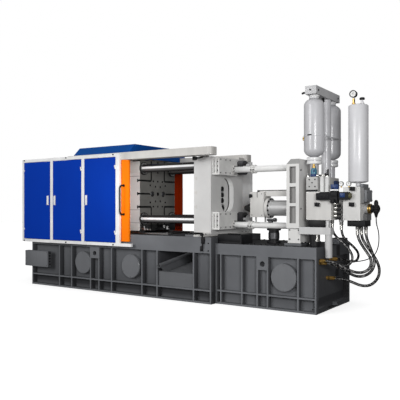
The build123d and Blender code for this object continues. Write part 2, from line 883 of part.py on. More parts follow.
def guard_door(index):
    """Hinged sheet door with folded rim, knuckles and a flush pull."""
    low, high = door_openings[index]
    z_span = (guard_opening_z[0] + door_gap, guard_opening_z[1] - door_gap)
    x_span = (low + door_gap, high - door_gap)
    y_span = (-guard_front, -guard_front + door_thickness)
    door = block(x_span, y_span, z_span)
    inner_x = (x_span[0] + door_fold, x_span[1] - door_fold)
    inner_z = (z_span[0] + door_fold, z_span[1] - door_fold)
    door = door - block(inner_x, (-guard_front + hinge_leaf, y_span[1]), inner_z)
    outward = door_hinge_sides[index]
    free_edge = x_span[0] if outward > 0 else x_span[1]
    pull_x = sorted((free_edge + outward * pull_inset, free_edge + outward * (pull_inset + pull_width)))
    pull_centre = (guard_bottom + guard_top) / 2
    pull = block(pull_x, (-guard_front - pull_depth, -guard_front),
                 (pull_centre - pull_height / 2, pull_centre + pull_height / 2))
    door = door + pull
    x = hinge_x(index)
    for height in hinge_heights:
        z_span = (height + fit_clearance, height + hinge_half)
        knuckle = bar_z(x, hinge_y, z_span, hinge_barrel)
        leaf = block(sorted((x - outward * hinge_barrel / 2, x - outward * hinge_leaf_width)),
                     (-guard_front - hinge_leaf, -guard_front), z_span)
        arm = block(sorted((x, x - outward * hinge_barrel / 2)), (hinge_y, -guard_front - hinge_leaf),
                    z_span)
        web = block(sorted((x, x - outward * hinge_leaf_width)),
                    (-guard_front - hinge_leaf * 2, -guard_front - hinge_leaf), z_span)
        hinge = knuckle + arm + web + leaf
        bore = bar_z(x, hinge_y, z_span, hinge_pin + fit_clearance * 2)
        door = door + (hinge - bore)
    return door


def guard_panels():
    """Fixed sheets: three in the rear frame and one in the clamp end frame."""
    y_span = (guard_back, guard_back + hinge_leaf * 2)
    panels = [block(opening, y_span, guard_opening_z) for opening in door_openings]
    inner = guard_back - guard_jamb
    end_x = guard_left + guard_depth / 2
    return panels + [block((end_x, end_x + hinge_leaf * 2), (-inner, inner), guard_opening_z)]


def end_guard():
    """Frame that closes the clamp end between the side guards."""
    frame = block((guard_left, guard_left + guard_depth), (-guard_back, guard_back),
                  (guard_bottom, guard_top))
    opening = block((guard_left, guard_left + guard_depth),
                    (-guard_back + guard_jamb, guard_back - guard_jamb), guard_opening_z)
    return frame - opening


def door_track(side):
    """Hollow track beam; its slot below takes the sliding door's hangers."""
    right = track_right if side < 0 else fixed_platen_right
    inner = guard_back - track_width
    y_span = sorted((side * guard_back, side * inner))
    beam = block((track_left, right), y_span, (track_bottom, track_top))
    beam = fillet(beam.edges().filter_by(Axis.Z).sort_by(Axis.X)[-2:], track_corner)
    x_span = (track_left + track_end_wall, right - track_end_wall)
    centre = side * slot_centre_y
    neck = block(x_span, (centre - track_neck / 2, centre + track_neck / 2),
                 (track_bottom, track_bottom + track_lip))
    chamber = block(x_span, (centre - track_chamber_width / 2, centre + track_chamber_width / 2),
                    (track_bottom + track_lip, track_top - track_roof))
    bracket_y = sorted((side * (platen_half_width - platen_corner), side * inner))
    bracket = block((track_bracket_left, track_bracket_right), bracket_y,
                    (fixed_platen_top, fixed_platen_top + track_bracket_height))
    return beam - neck - chamber + bracket


def safety_door(side):
    """Sheet door with a deep rim, hung on four rollers."""
    y_span = sorted((side * safety_door_inner, side * safety_door_outer))
    right = safety_door_right if side < 0 else safety_door_right + rear_door_shift
    x_span = (right - safety_door_length, right)
    z_span = (safety_door_bottom, safety_door_top)
    door = block(x_span, y_span, z_span)
    hollow_y = sorted((side * safety_door_inner, side * (safety_door_outer - safety_door_wall)))
    door = door - block((x_span[0] + safety_door_rim, x_span[1] - safety_door_rim), hollow_y,
                        (z_span[0] + safety_door_rim, z_span[1] - safety_door_rim))
    centre = side * slot_centre_y
    axle_z = track_bottom + track_lip + roller_diameter / 2 + fit_clearance
    starts = (x_span[0] + hanger_inset, x_span[1] - hanger_inset - hanger_length)
    for low in starts:
        hanger = block((low, low + hanger_length),
                       (centre - hanger_thickness / 2, centre + hanger_thickness / 2),
                       (safety_door_top, axle_z))
        door = door + hanger
        for axle_x in (low + roller_diameter / 2, low + hanger_length - roller_diameter / 2):
            door = door + bar_y(axle_x, (centre - roller_width / 2, centre + roller_width / 2), axle_z,
                                roller_diameter)
    return door


def bow_handle(side):
    """Bow of square bar with rounded corners whose ends stand on a sliding door's outer face."""
    right = safety_door_right if side < 0 else safety_door_right + rear_door_shift
    inset, depth, corner = ((handle_inset, handle_depth, handle_corner) if side < 0 else
                            (rear_handle_inset, rear_handle_depth, rear_handle_corner))
    x = right - inset
    middle = safety_door_bottom + handle_rise
    low, high = middle - handle_height / 2, middle + handle_height / 2
    bow = None
    for trim, radius in ((0, corner), (handle_bar, corner - handle_bar)):
        y_span = sorted((side * safety_door_outer, side * (safety_door_outer + depth - trim)))
        body = block((x - handle_bar / 2, x + handle_bar / 2), y_span, (low + trim, high - trim))
        ends = body.edges().filter_by(Axis.X).group_by(Axis.Y)[0 if side < 0 else -1]
        body = fillet(ends, radius)
        bow = bow - body if bow else body
    return bow


def hood():
    """Folded sheet hood over the clamp with a skirt at its die end."""
    top = track_top + hood_rise
    foot = guard_back - hood_side_inset
    with BuildPart() as shell:
        with BuildSketch(Plane.YZ.offset(hood_left)):
            Polygon((-foot, track_top), (foot, track_top), (hood_top_half_width, top),
                    (-hood_top_half_width, top), align=None)
        extrude(amount=hood_right - hood_left)
        with BuildSketch(Plane.YZ.offset(hood_left + hood_sheet)):
            Polygon((-foot + hood_sheet, track_top), (foot - hood_sheet, track_top),
                    (hood_top_half_width - hood_sheet, top - hood_sheet),
                    (-hood_top_half_width + hood_sheet, top - hood_sheet), align=None)
        extrude(amount=hood_right - hood_left - hood_sheet * 2, mode=Mode.SUBTRACT)
    skirt = block((hood_right - hood_sheet, hood_right),
                  (-hood_skirt_half_width, hood_skirt_half_width), (track_top - hood_skirt_drop, track_top))
    return shell.part + skirt


def shot_frame():
    """C-frame casting: pocketed front, chamfered shoulder and a foot."""
    x_span = (shot_frame_left, shot_frame_right)
    body = block(x_span, (shot_frame_front, shot_frame_rear), (shot_frame_bottom, shot_frame_top))
    corners = body.edges().filter_by(Axis.Y).group_by(Axis.Z)[-1].sort_by(Axis.X)[:1]
    body = chamfer(corners, shot_frame_chamfer)
    width = shot_frame_right - shot_frame_left
    pocket_x = (shot_frame_left + shot_pocket_left_share * width,
                shot_frame_left + shot_pocket_right_share * width)
    for low, high in shot_pocket_rows_share:
        z_span = (shot_frame_bottom + low * shot_frame_height, shot_frame_bottom + high * shot_frame_height)
        body = body - block(pocket_x, (shot_frame_front, shot_frame_front + shot_pocket_depth), z_span)
    foot = block(x_span, (shot_frame_front + shot_foot_inset, shot_frame_rear - shot_foot_inset),
                 (shot_base_height + shot_plate_thickness, shot_frame_bottom))
    return body + foot


def shot_frame_rods():
    """Two rods with ringed collars that tie the shot frame to the fixed platen."""
    rods = []
    for z, collar_x in ((upper_rod_z, upper_collar_x), (lower_rod_z, lower_collar_x)):
        rod = bar_x((retainer_right, shot_frame_left), 0, z, shot_rod_diameter)
        for low in (collar_x, collar_x + collar_length - collar_ring):
            rod = rod + bar_x((low, low + collar_ring), 0, z, collar_diameter)
        rods.append(rod)
    return rods


def shot_cylinder():
    """Cylinder that drives the plunger, with its bolted end flange."""
    body = bar_x((shot_cylinder_left, shot_frame_left), 0, shot_axis_height, shot_cylinder_diameter)
    flange = bar_x((shot_cylinder_left - shot_flange_length, shot_cylinder_left), 0, shot_axis_height,
                   shot_flange_diameter)
    return body + flange


def plunger_coupling():
    """Housing of the plunger coupling, with the guide beam that runs back above the cylinder."""
    housing = block((coupling_left, coupling_right), (-coupling_half_width, coupling_half_width),
                    (shot_axis_height - coupling_drop, shot_axis_height + coupling_rise))
    guide = block((coupling_right - coupling_half_width, shot_frame_left),
                  (-guide_half_width, guide_half_width),
                  (shot_axis_height + guide_low_rise, shot_axis_height + guide_high_rise))
    return housing + guide


def plunger_rod():
    """Open shot sleeve in the fixed platen, gaiter cone on the coupling and the rod behind it."""
    sleeve_x = (fixed_platen_left, sleeve_end)
    sleeve = bar_x(sleeve_x, 0, shot_axis_height, sleeve_diameter)
    sleeve = sleeve - bar_x(sleeve_x, 0, shot_axis_height, sleeve_bore)
    cone = Pos(coupling_left - gaiter_length / 2, 0, shot_axis_height) * Rot(0, right_angle, 0) * Cone(
        gaiter_tip_diameter / 2, gaiter_diameter / 2, gaiter_length)
    return [sleeve, cone, bar_x((coupling_right, shot_cylinder_left - shot_flange_length), 0,
                                shot_axis_height, plunger_diameter)]


def levelling_jack():
    """Short flanged jack between the base and the lower rod."""
    top = lower_rod_z - shot_rod_diameter / 2 - fit_clearance
    body = bar_z(jack_x, 0, (shot_base_height, top), jack_diameter)
    for low in (shot_base_height, top - jack_flange_length):
        body = body + bar_z(jack_x, 0, (low, low + jack_flange_length), jack_flange_diameter)
    return body


def drip_tray():
    """Black box with rounded edges beside the fixed platen's foot."""
    body = block((section_joint, section_joint + tray_length), (tray_front, tray_rear),
                 (shot_base_height, shot_base_height + tray_height))
    upright = body.edges().filter_by(Axis.Z).sort_by(Axis.X)[-2:]
    return fillet(upright, tray_corner)


def valve_arm():
    """Arm from the shot frame's foot that carries the front manifold, with a pipe hung below it."""
    arm = block((shot_frame_right, arm_right), (arm_front, arm_rear), (arm_bottom, arm_top))
    return arm + bar_z(post_x, arm_middle_y, (arm_bottom - post_length, arm_bottom), post_diameter)


def front_manifold():
    """Large hydraulic block on the operator side."""
    return block((front_manifold_left, front_manifold_right), (manifold_front, front_manifold_rear),
                 (manifold_bottom, front_manifold_top))


def valve_block():
    """Smaller block and upright cartridge valves on top of the front manifold."""
    body = block((front_manifold_left, valve_block_right), (manifold_front, front_manifold_rear),
                 (front_manifold_top, valve_block_top))
    return [body] + [bar_z(x, y, (front_manifold_top, valve_block_top), cartridge_diameter)
                     for x, y in cartridge_places]


def rear_manifold():
    """Block behind the front manifold, bolted to the shot frame."""
    return block((shot_frame_right, rear_manifold_right), (front_manifold_rear, rear_manifold_rear),
                 (manifold_bottom, rear_manifold_top))


def end_manifold():
    """Block at the end of the machine with a stepped side plate, a ledge and a bridge."""
    body = block((end_manifold_left, end_manifold_right), (manifold_front, end_manifold_rear),
                 (manifold_bottom, end_manifold_top))
    side_x = (end_manifold_right, end_manifold_right + side_plate_thickness)
    plate = block(side_x, (manifold_front, manifold_front + side_plate_width),
                  (manifold_bottom + side_plate_low, manifold_bottom + side_plate_high))
    ledge = block(side_x, (ledge_front, ledge_rear), (manifold_bottom, manifold_bottom + ledge_height))
    bridge = block((front_manifold_right, end_manifold_left), (bridge_front, bridge_rear),
                   (manifold_bottom + bridge_low, manifold_bottom + bridge_high))
    return body + plate + ledge + bridge


def manifold_fittings():
    """Steel legs under the front manifold, a pipe stub below the bridge and the port at the end."""
    places = (front_manifold_left + leg_inset, front_manifold_right - leg_inset)
    pieces = [bar_z(x, arm_middle_y, (arm_top, manifold_bottom), leg_diameter) for x in places]
    pieces.append(bar_z(column_x, column_y, (manifold_bottom - column_drop, manifold_bottom + bridge_low),
                        column_diameter))
    pieces.append(bar_x((end_manifold_right, end_manifold_right + port_length), port_y,
                        manifold_bottom + port_rise, port_diameter))
    return pieces


def connector_blocks():
    """Black connector plate under the end manifold, and the angled plug on its port."""
    middle = manifold_bottom + port_rise
    plug = block((plug_left, plug_right), (port_y - plug_half_width, port_y + plug_half_width),
                 (middle - plug_drop, middle + plug_rise))
    plug = fillet(plug.edges().filter_by(Axis.Z), plug_corner)
    return [plug, block((hose_plate_left, hose_plate_right), (hose_plate_front, hose_plate_rear),
                        (hose_plate_bottom, manifold_bottom))]


def solenoid_valves():
    """Row of valves across the fronts of both manifolds."""
    near, middle, far = [block((left, right), (manifold_front - valve_depth, manifold_front),
                               (manifold_bottom + low, manifold_bottom + high))
                         for left, right, low, high in valve_row]
    return [near + middle, far]


def dome_profile(radius, dome, bottom, top):
    """Points from the lower end to the upper one of a bottle with domed ends."""
    low = [(share * radius, bottom + rise * dome)
           for share, rise in zip(dome_radius_shares, dome_height_shares)]
    high = [(share * radius, top - rise * dome)
            for share, rise in zip(dome_radius_shares, dome_height_shares)]
    return low + high[::-1]


def domed_bottle(x, y, radius, dome, z_span):
    """Revolved bottle."""
    with BuildPart() as bottle:
        with BuildSketch(Plane.XZ):
            Polygon(*dome_profile(radius, dome, z_span[0], z_span[1]), align=None)
        revolve(axis=Axis.Z)
    return Pos(x, y, 0) * bottle.part


def accumulator(y):
    """Steel bottle with domed ends, a ring below and a neck at each end."""
    body = domed_bottle(accumulator_x, y, accumulator_diameter / 2, accumulator_dome,
                        (accumulator_bottom, accumulator_top))
    body = body + bar_z(accumulator_x, y, (accumulator_top - accumulator_dome, head_bottom),
                        accumulator_neck_diameter)
    body = body + bar_z(accumulator_x, y, (ring_bottom, accumulator_bottom + accumulator_dome),
                        accumulator_neck_diameter)
    return body + bar_z(accumulator_x, y, (ring_bottom, accumulator_bottom), accumulator_ring_diameter)


def accumulators():
    """The two accumulators, side by side."""
    return [accumulator(-accumulator_y), accumulator(accumulator_y)]


def accumulator_head():
    """Block that joins the accumulators' upper necks and the pipe."""
    return block((head_left, head_right), (-head_half_length, head_half_length), (head_bottom, head_top))


def accumulator_pipes():
    """Thick riser between the accumulators, and the stubs that they stand on."""
    return [bar_z(pipe_x, pipe_y, (rear_manifold_top, head_bottom), pipe_diameter),
            bar_z(accumulator_x, -accumulator_y, (valve_block_top, ring_bottom), accumulator_neck_diameter),
            bar_z(accumulator_x, accumulator_y, (rear_manifold_top, ring_bottom), accumulator_neck_diameter)]


def nitrogen_bottle():
    """Slim bottle that stands on the end manifold, with a gauge and a valve knob on stems."""
    body = domed_bottle(bottle_x, bottle_y, bottle_diameter / 2, bottle_dome, (bottle_bottom, bottle_top))
    body = body + bar_z(bottle_x, bottle_y, (end_manifold_top, bottle_bottom + bottle_dome),
                        bottle_neck_diameter)
    stem_foot = bottle_top - bottle_dome
    gauge_x, gauge_z = bottle_x + gauge_shift, bottle_top + gauge_height
    knob_x, knob_z = bottle_x + knob_shift, bottle_top + knob_height
    body = body + bar_z(gauge_x, bottle_y, (stem_foot, gauge_z), gauge_stem)
    body = body + bar_z(knob_x, bottle_y, (stem_foot, knob_z), gauge_stem)
    body = body + bar_z(knob_x, bottle_y, (knob_z - knob_thickness / 2, knob_z + knob_thickness / 2),
                        knob_diameter)
    return body + bar_y(gauge_x, (bottle_y - gauge_depth / 2, bottle_y + gauge_depth / 2), gauge_z,
                        gauge_diameter)


def junction_box():
    """Shallow box hung on the lower left corner of the base."""
    left = base_left - box_overhang
    body = block((left, left + box_length), (-clamp_base_half_depth - box_depth, -clamp_base_half_depth),
                 (box_bottom, box_bottom + box_height))
    return fillet(body.edges().filter_by(Axis.Y), box_corner)


# Hose courses as points between the fitting at the blocks and the fitting at the base end.
# The first and last point of each lie on the faces of their fittings.
plate_face = hose_plate_bottom - fitting_length
column_face = manifold_bottom - column_drop - fitting_length
block_face = manifold_bottom - fitting_length
end_wall = base_right - end_recess
end_face = base_right + fitting_length
hose_outer = [(2885, -310, plate_face), (2885, -310, 930), (2925, -318, 850), (2990, -328, 762),
              (3060, -340, 668), (3052, -356, 566), (2975, -368, 512), (2885, -378, 508),
              (2800, -388, 536), (2705, -400, 590), (2600, -410, 625), (end_face, -410, 625)]
hose_inner_near = [(2944, -180, plate_face), (2944, -180, 925), (2985, -208, 840), (3035, -234, 742),
                   (3074, -254, 635), (3050, -276, 530), (2975, -296, 466), (2880, -312, 452),
                   (2790, -328, 488), (2700, -342, 545), (2600, -356, 596), (end_face, -356, 596)]
hose_inner_far = [(2900, -214, plate_face), (2900, -214, 922), (2938, -200, 838), (2998, -188, 752),
                  (3068, -176, 652), (3104, -166, 540), (3082, -156, 430), (2992, -144, 338),
                  (2880, -134, 322), (2770, -114, 352), (2650, -94, 386), (end_face, -94, 386)]
hose_short_far = [(column_x, column_y, column_face), (column_x, column_y, 950), (2712, -212, 868),
                  (2785, -166, 800), (2842, -124, 712), (2810, -84, 622), (2725, -40, 596),
                  (2620, 0, 617), (end_face, 0, 617)]
hose_short_near = [(2560, -270, block_face), (2560, -270, 980), (2622, -278, 905), (2700, -288, 850),
                   (2786, -300, 770), (2834, -306, 670), (2788, -310, 580), (2700, -306, 572),
                   (2600, -300, 612), (end_face, -300, 612)]
sensor_cable = [(3080, port_y, manifold_bottom + port_rise - plug_drop), (3080, port_y, 1080),
                (3108, -238, 1000), (3120, -250, 910), (3118, -270, 815), (3090, -292, 725),
                (3020, -300, 668), (2935, -284, 640), (2840, -262, 622), (2740, -246, 604),
                (2640, -236, 590), (2540, -226, 580), (end_wall, -226, 580)]
cords = {
    "hose_outer": (hose_outer, hose_diameter),
    "hose_inner_near": (hose_inner_near, hose_diameter),
    "hose_inner_far": (hose_inner_far, hose_diameter),
    "hose_short_far": (hose_short_far, small_hose_diameter),
    "hose_short_near": (hose_short_near, small_hose_diameter),
    "sensor_cable": (sensor_cable, cable_diameter),
}


def bend_radii(points):
    """One bend radius for each inner point of a course, from its shorter run and its turn."""
    radii = []
    for before, corner, after in zip(points, points[1:], points[2:]):
        come, go = Vector(*corner) - Vector(*before), Vector(*after) - Vector(*corner)
        turn = math.radians(come.get_angle(go))
        radii.append(hose_bend * min(come.length, go.length) / math.tan(turn / 2))
    return radii


def cord(points, diameter):
    """Round cord of straight runs and tangent arcs along a course."""
    with BuildPart() as tube:
        with BuildLine() as course:
            FilletPolyline(*points, radius=bend_radii(points))
        with BuildSketch(course.line ^ 0):
            Circle(diameter / 2)
        sweep(path=course.line)
    return tube.part


def hose_fittings():
    """Brass and steel sockets at both ends of the hoses."""
    sockets = []
    for name, (points, _) in cords.items():
        if name == "sensor_cable":
            continue
        x, y, z = points[0]
        sockets.append(bar_z(x, y, (z, z + fitting_length), fitting_diameter))
        y, z = points[-1][1:]
        sockets.append(bar_x((end_wall, end_face), y, z, fitting_diameter))
    return sockets


nodes = {
    "base_clamp_section": base_clamp_section,
    "base_low_sections": base_low_sections,
    "base_beams": base_beams,
    "base_ribs": base_ribs,
    "base_stiffeners": base_stiffeners,
    "base_plates": base_plates,
    "base_covers": base_covers,
    "casting_chute": casting_chute,
    "slide_ways": slide_ways,
    "moving_platen": moving_platen,
    "platen_bushings": platen_bushings,
    "platen_shoes": platen_shoes,
    "fixed_platen": fixed_platen,
    "tail_platen": tail_platen,
    "tie_bars": tie_bars,
    "tie_bar_nuts": tie_bar_nuts,
    "clamp_cylinder": clamp_cylinder,
    "clamp_rod": clamp_rod,
    "front_guard_frame": front_guard_frame,
    "rear_guard_frame": rear_guard_frame,
    "guard_panels": guard_panels,
    "end_guard": end_guard,
    "hood": hood,
    "shot_frame": shot_frame,
    "shot_frame_rods": shot_frame_rods,
    "shot_cylinder": shot_cylinder,
    "plunger_coupling": plunger_coupling,
    "plunger_rod": plunger_rod,
    "levelling_jack": levelling_jack,
    "drip_tray": drip_tray,
    "valve_arm": valve_arm,
    "front_manifold": front_manifold,
    "valve_block": valve_block,
    "rear_manifold": rear_manifold,
    "end_manifold": end_manifold,
    "manifold_fittings": manifold_fittings,
    "connector_blocks": connector_blocks,
    "solenoid_valves": solenoid_valves,
    "accumulators": accumulators,
    "accumulator_head": accumulator_head,
    "accumulator_pipes": accumulator_pipes,
    "nitrogen_bottle": nitrogen_bottle,
    "junction_box": junction_box,
    "hose_fittings": hose_fittings,
}


def save(name, shape):
    """Write one node, a single solid or several that don't touch."""
    solids = Compound(children=[part for part in shape]) if isinstance(shape, list) else shape
    export_step(solids, f"parts/{name}.step")


os.makedirs("parts", exist_ok=True)
for node_name, make in nodes.items():
    save(node_name, make())
for door_index in range(door_count):
    save(f"guard_door_{door_index + 1}", guard_door(door_index))
for side_name, side_sign in (("front", -1), ("rear", 1)):
    save(f"{side_name}_door_track", door_track(side_sign))
    save(f"{side_name}_safety_door", safety_door(side_sign))
    save(f"{side_name}_door_handle", bow_handle(side_sign))
for cord_name, (cord_points, cord_diameter) in cords.items():
    save(cord_name, cord(cord_points, cord_diameter))
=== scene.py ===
import logging
import math
from dataclasses import dataclass, field
from enum import Enum

import bmesh
import bpy
from mathutils import Matrix, Vector


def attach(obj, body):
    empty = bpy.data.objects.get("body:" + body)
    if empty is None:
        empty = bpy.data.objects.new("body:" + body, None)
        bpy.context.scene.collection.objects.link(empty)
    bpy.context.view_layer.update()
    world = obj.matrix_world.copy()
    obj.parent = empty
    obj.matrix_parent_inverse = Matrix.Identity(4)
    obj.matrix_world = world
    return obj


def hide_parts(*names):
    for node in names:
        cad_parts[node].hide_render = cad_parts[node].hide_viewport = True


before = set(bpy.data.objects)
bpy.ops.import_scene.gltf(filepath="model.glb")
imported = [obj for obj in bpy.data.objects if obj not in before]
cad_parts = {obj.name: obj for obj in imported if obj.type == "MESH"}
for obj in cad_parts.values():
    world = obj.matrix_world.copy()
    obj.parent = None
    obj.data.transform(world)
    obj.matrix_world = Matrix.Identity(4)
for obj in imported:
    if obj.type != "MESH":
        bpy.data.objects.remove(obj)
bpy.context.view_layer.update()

log = logging.getLogger("machine")

MM = 0.001
FULL_TURN = 2 * math.pi
SHARP_ANGLE = math.radians(35)
BEND_STEPS = 8
BAR_FACETS = 16
Colour = tuple[float, float, float]
Point = tuple[float, float, float]

ROOT = "machine"
PLATEN = "moving_platen_body"
FRONT_DOOR = "front_safety_door_body"


class Axis(Enum):
    """Direction of a round shape, as its two across vectors and its along vector."""

    X = ((0, 1, 0), (0, 0, 1), (1, 0, 0))
    Y = ((0, 0, 1), (1, 0, 0), (0, 1, 0))
    Z = ((1, 0, 0), (0, 1, 0), (0, 0, 1))


# Materials


class Signal:
    """A socket's value in a material; arithmetic on it adds Math nodes."""

    def __init__(self, graph: "Graph", socket: bpy.types.NodeSocket) -> None:
        """Keep the graph and the socket."""
        self.graph = graph
        self.socket = socket

    def maths(self, operation: str, *others: "Signal | float") -> "Signal":
        """Add one Math node.

        Args:
            operation: The node's operation name.
            others: The further operands.

        Returns:
            The result's signal.
        """
        return self.graph.node("ShaderNodeMath", {"operation": operation},
                               dict(enumerate((self, *others))))

    def __add__(self, other: "Signal | float") -> "Signal":
        """Sum."""
        return self.maths("ADD", other)

    def __mul__(self, other: "Signal | float") -> "Signal":
        """Product."""
        return self.maths("MULTIPLY", other)

    def __sub__(self, other: "Signal | float") -> "Signal":
        """Difference."""
        return self.maths("SUBTRACT", other)

    def __rsub__(self, other: float) -> "Signal":
        """Difference from a number."""
        return self.graph.node("ShaderNodeMath", {"operation": "SUBTRACT"}, {0: other, 1: self})

    def __gt__(self, other: "Signal | float") -> "Signal":
        """One where this is larger."""
        return self.maths("GREATER_THAN", other)

    def __lt__(self, other: "Signal | float") -> "Signal":
        """One where this is smaller."""
        return self.maths("LESS_THAN", other)

    __radd__ = __add__


Sockets = dict[str, Signal | float | Colour]


class Graph:
    """A material's node tree."""

    def __init__(self, name: str) -> None:
        """Start an empty tree with a Principled surface."""
        self.material = bpy.data.materials.new(name)
        self.material.use_nodes = True
        self.tree = self.material.node_tree
        self.tree.nodes.clear()
        self.surface = self.tree.nodes.new("ShaderNodeBsdfPrincipled")
        output = self.tree.nodes.new("ShaderNodeOutputMaterial")
        self.tree.links.new(self.surface.outputs[0], output.inputs[0])

    def node(self, kind: str, settings: dict | None = None, inputs: dict | None = None,
             output: int | str = 0) -> Signal:
        """Add one node.

        Args:
            kind: The node's type name.
            settings: Attributes that are set first.
            inputs: Values or signals by socket name or number.
            output: The socket that is returned.

        Returns:
            The chosen output's signal.
        """
        made = self.tree.nodes.new(kind)
        for key, value in (settings or {}).items():
            setattr(made, key, value)
        for key, value in (inputs or {}).items():
            if isinstance(value, Signal):
                self.tree.links.new(value.socket, made.inputs[key])
            else:
                made.inputs[key].default_value = value
        return Signal(self, made.outputs[output])

    def place(self) -> Signal:
        """Object coordinates."""
        return self.node("ShaderNodeTexCoord", output="Object")

    def along(self, axis: Axis) -> Signal:
        """One object coordinate, in metres."""
        return self.node("ShaderNodeSeparateXYZ", {}, {0: self.place()}, axis.name)

    def across(self) -> Signal:
        """Distance from the middle plane, in metres."""
        return self.along(Axis.Y).maths("ABSOLUTE")

    def facing(self, axis: Axis) -> Signal:
        """One part of the surface's normal."""
        normal = self.node("ShaderNodeNewGeometry", output="Normal")
        return self.node("ShaderNodeSeparateXYZ", {}, {0: normal}, axis.name)

    def noise(self, scale: float, detail: float = 3.0, stretch: Point = (1, 1, 1)) -> Signal:
        """Noise of a given scale, stretched along the axes.

        Args:
            scale: Spots per metre.
            detail: Octaves.
            stretch: Factors on the three coordinates.

        Returns:
            The noise value.
        """
        mapped = self.node("ShaderNodeMapping", {}, {"Vector": self.place(), "Scale": stretch})
        return self.node("ShaderNodeTexNoise", {},
                         {"Vector": mapped, "Scale": scale, "Detail": detail, "Roughness": 0.6})

    def ramp(self, value: Signal, low: float, high: float) -> Signal:
        """Stretch a value so that low is 0 and high is 1."""
        return self.node("ShaderNodeMapRange", {},
                         {"Value": value, "From Min": low, "From Max": high})

    def spots(self, scale: float, detail: float, low: float, high: float,
              stretch: Point = (1, 1, 1)) -> Signal:
        """Noise with its contrast raised.

        Args:
            scale: Spots per metre.
            detail: Octaves.
            low: Noise value that becomes 0.
            high: Noise value that becomes 1.
            stretch: Factors on the three coordinates.

        Returns:
            The strength of the spots.
        """
        return self.ramp(self.noise(scale, detail, stretch), low, high)

    def clouding(self) -> Signal:
        """Wide soft clouds, as sprayed and cast surfaces have them."""
        return self.spots(2.2, 4, 0.3, 0.7)

    def mix(self, factor: "Signal | float", first: "Signal | Colour",
            second: "Signal | Colour") -> Signal:
        """Blend two colours."""
        ends = [value if isinstance(value, Signal) else (*value, 1) for value in (first, second)]
        return self.node("ShaderNodeMix", {"data_type": "RGBA"},
                         {0: factor, 6: ends[0], 7: ends[1]}, 2)

    def bump(self, height: Signal, strength: float, distance: float) -> Signal:
        """Surface relief from a height."""
        return self.node("ShaderNodeBump", {},
                         {"Height": height, "Strength": strength, "Distance": distance})

    def dress(self, **sockets: "Signal | float | Colour") -> bpy.types.Material:
        """Fill the surface's sockets.

        Args:
            sockets: Values by socket name, with underscores for spaces.

        Returns:
            The finished material.
        """
        for name, value in sockets.items():
            socket = self.surface.inputs[name.replace("_", " ")]
            if isinstance(value, Signal):
                self.tree.links.new(value.socket, socket)
            elif isinstance(value, tuple):
                socket.default_value = (*value, 1)
            else:
                socket.default_value = value
        return self.material


def toned(colour: Colour, factor: float, lift: float = 0.0, most: float = 1.0) -> Colour:
    """A darker or lighter shade of a colour.

    Args:
        colour: The colour.
        factor: Factor on its parts.
        lift: What is added to them.
        most: Their upper limit.

    Returns:
        The shade.
    """
    return tuple(min(part * factor + lift, most) for part in colour)


OIL_BLACK = (0.006, 0.006, 0.007)
SKIN = 0.0006


@dataclass(frozen=True)
class Finish:
    """What a piece's surface is made of.

    Attributes:
        name: Material name.
        slot: The record's material slot; not used.
    """

    name: str
    slot: str

    def build(self) -> bpy.types.Material:
        """Make the material."""
        graph = Graph(self.name)
        return graph.dress(**self.sockets(graph))

    def sockets(self, graph: Graph) -> Sockets:
        """Values of the surface's sockets."""
        raise NotImplementedError


@dataclass(frozen=True)
class Paint(Finish):
    """Sprayed enamel with faint clouding, orange peel and dust on level faces.

    Attributes:
        colour: Base colour.
        roughness: Mean roughness.
        dust: How much level faces are greyed.
        relief: Strength of the orange peel.
    """

    colour: Colour
    roughness: float = 0.4
    dust: float = 0.12
    relief: float = 0.06

    def sockets(self, graph: Graph) -> Sockets:
        """Clouds and upright streaks under settled dust."""
        streak = graph.spots(9, 3, 0.35, 0.75, (1, 1, 0.12))
        colour = graph.mix(graph.clouding() * 0.6 + streak * 0.4, toned(self.colour, 0.84),
                           toned(self.colour, 1.08, most=0.96))
        level = graph.ramp(graph.facing(Axis.Z), 0.75, 1.0)
        settled = level * graph.spots(14, 5, 0.35, 0.8) * self.dust
        return dict(Base_Color=graph.mix(settled, colour, toned(self.colour, 0.5, 0.16)),
                    Roughness=self.roughness + graph.noise(30, 3) * 0.12 + settled,
                    Normal=graph.bump(graph.noise(420, 2), self.relief, 0.0003),
                    Coat_Weight=0.06, Specular_IOR_Level=0.35)


@dataclass(frozen=True)
class Sheet(Finish):
    """Powder coat on flat door sheets; what stands proud of the sheet is white.

    Attributes:
        colour: Base colour.
        shade: Colour of the deeper clouding.
        proud: Object y below which pulls and hinges are white, in metres.
        roughness: Mean roughness.
        fittings: Colour of pulls and hinges.
    """

    colour: Colour
    shade: Colour
    proud: float = -9.0
    roughness: float = 0.42
    fittings: Colour = (0.74, 0.735, 0.73)

    def sockets(self, graph: Graph) -> Sockets:
        """Clouds, a darker foot and rubbed spots."""
        cloud = graph.spots(1.3, 3, 0.35, 0.7, (1, 1, 0.6))
        level = graph.ramp(graph.along(Axis.Z), 0.8, 2.0)
        colour = graph.mix(cloud * 0.5 + (1 - level) * 0.35, self.colour, self.shade)
        rub = graph.spots(60, 5, 0.62, 0.85, (1, 1, 0.3))
        return dict(Base_Color=graph.mix(graph.along(Axis.Y) < self.proud, colour, self.fittings),
                    Roughness=self.roughness + rub * 0.15,
                    Normal=graph.bump(graph.noise(500, 2), 0.05, 0.0005),
                    Specular_IOR_Level=0.1)


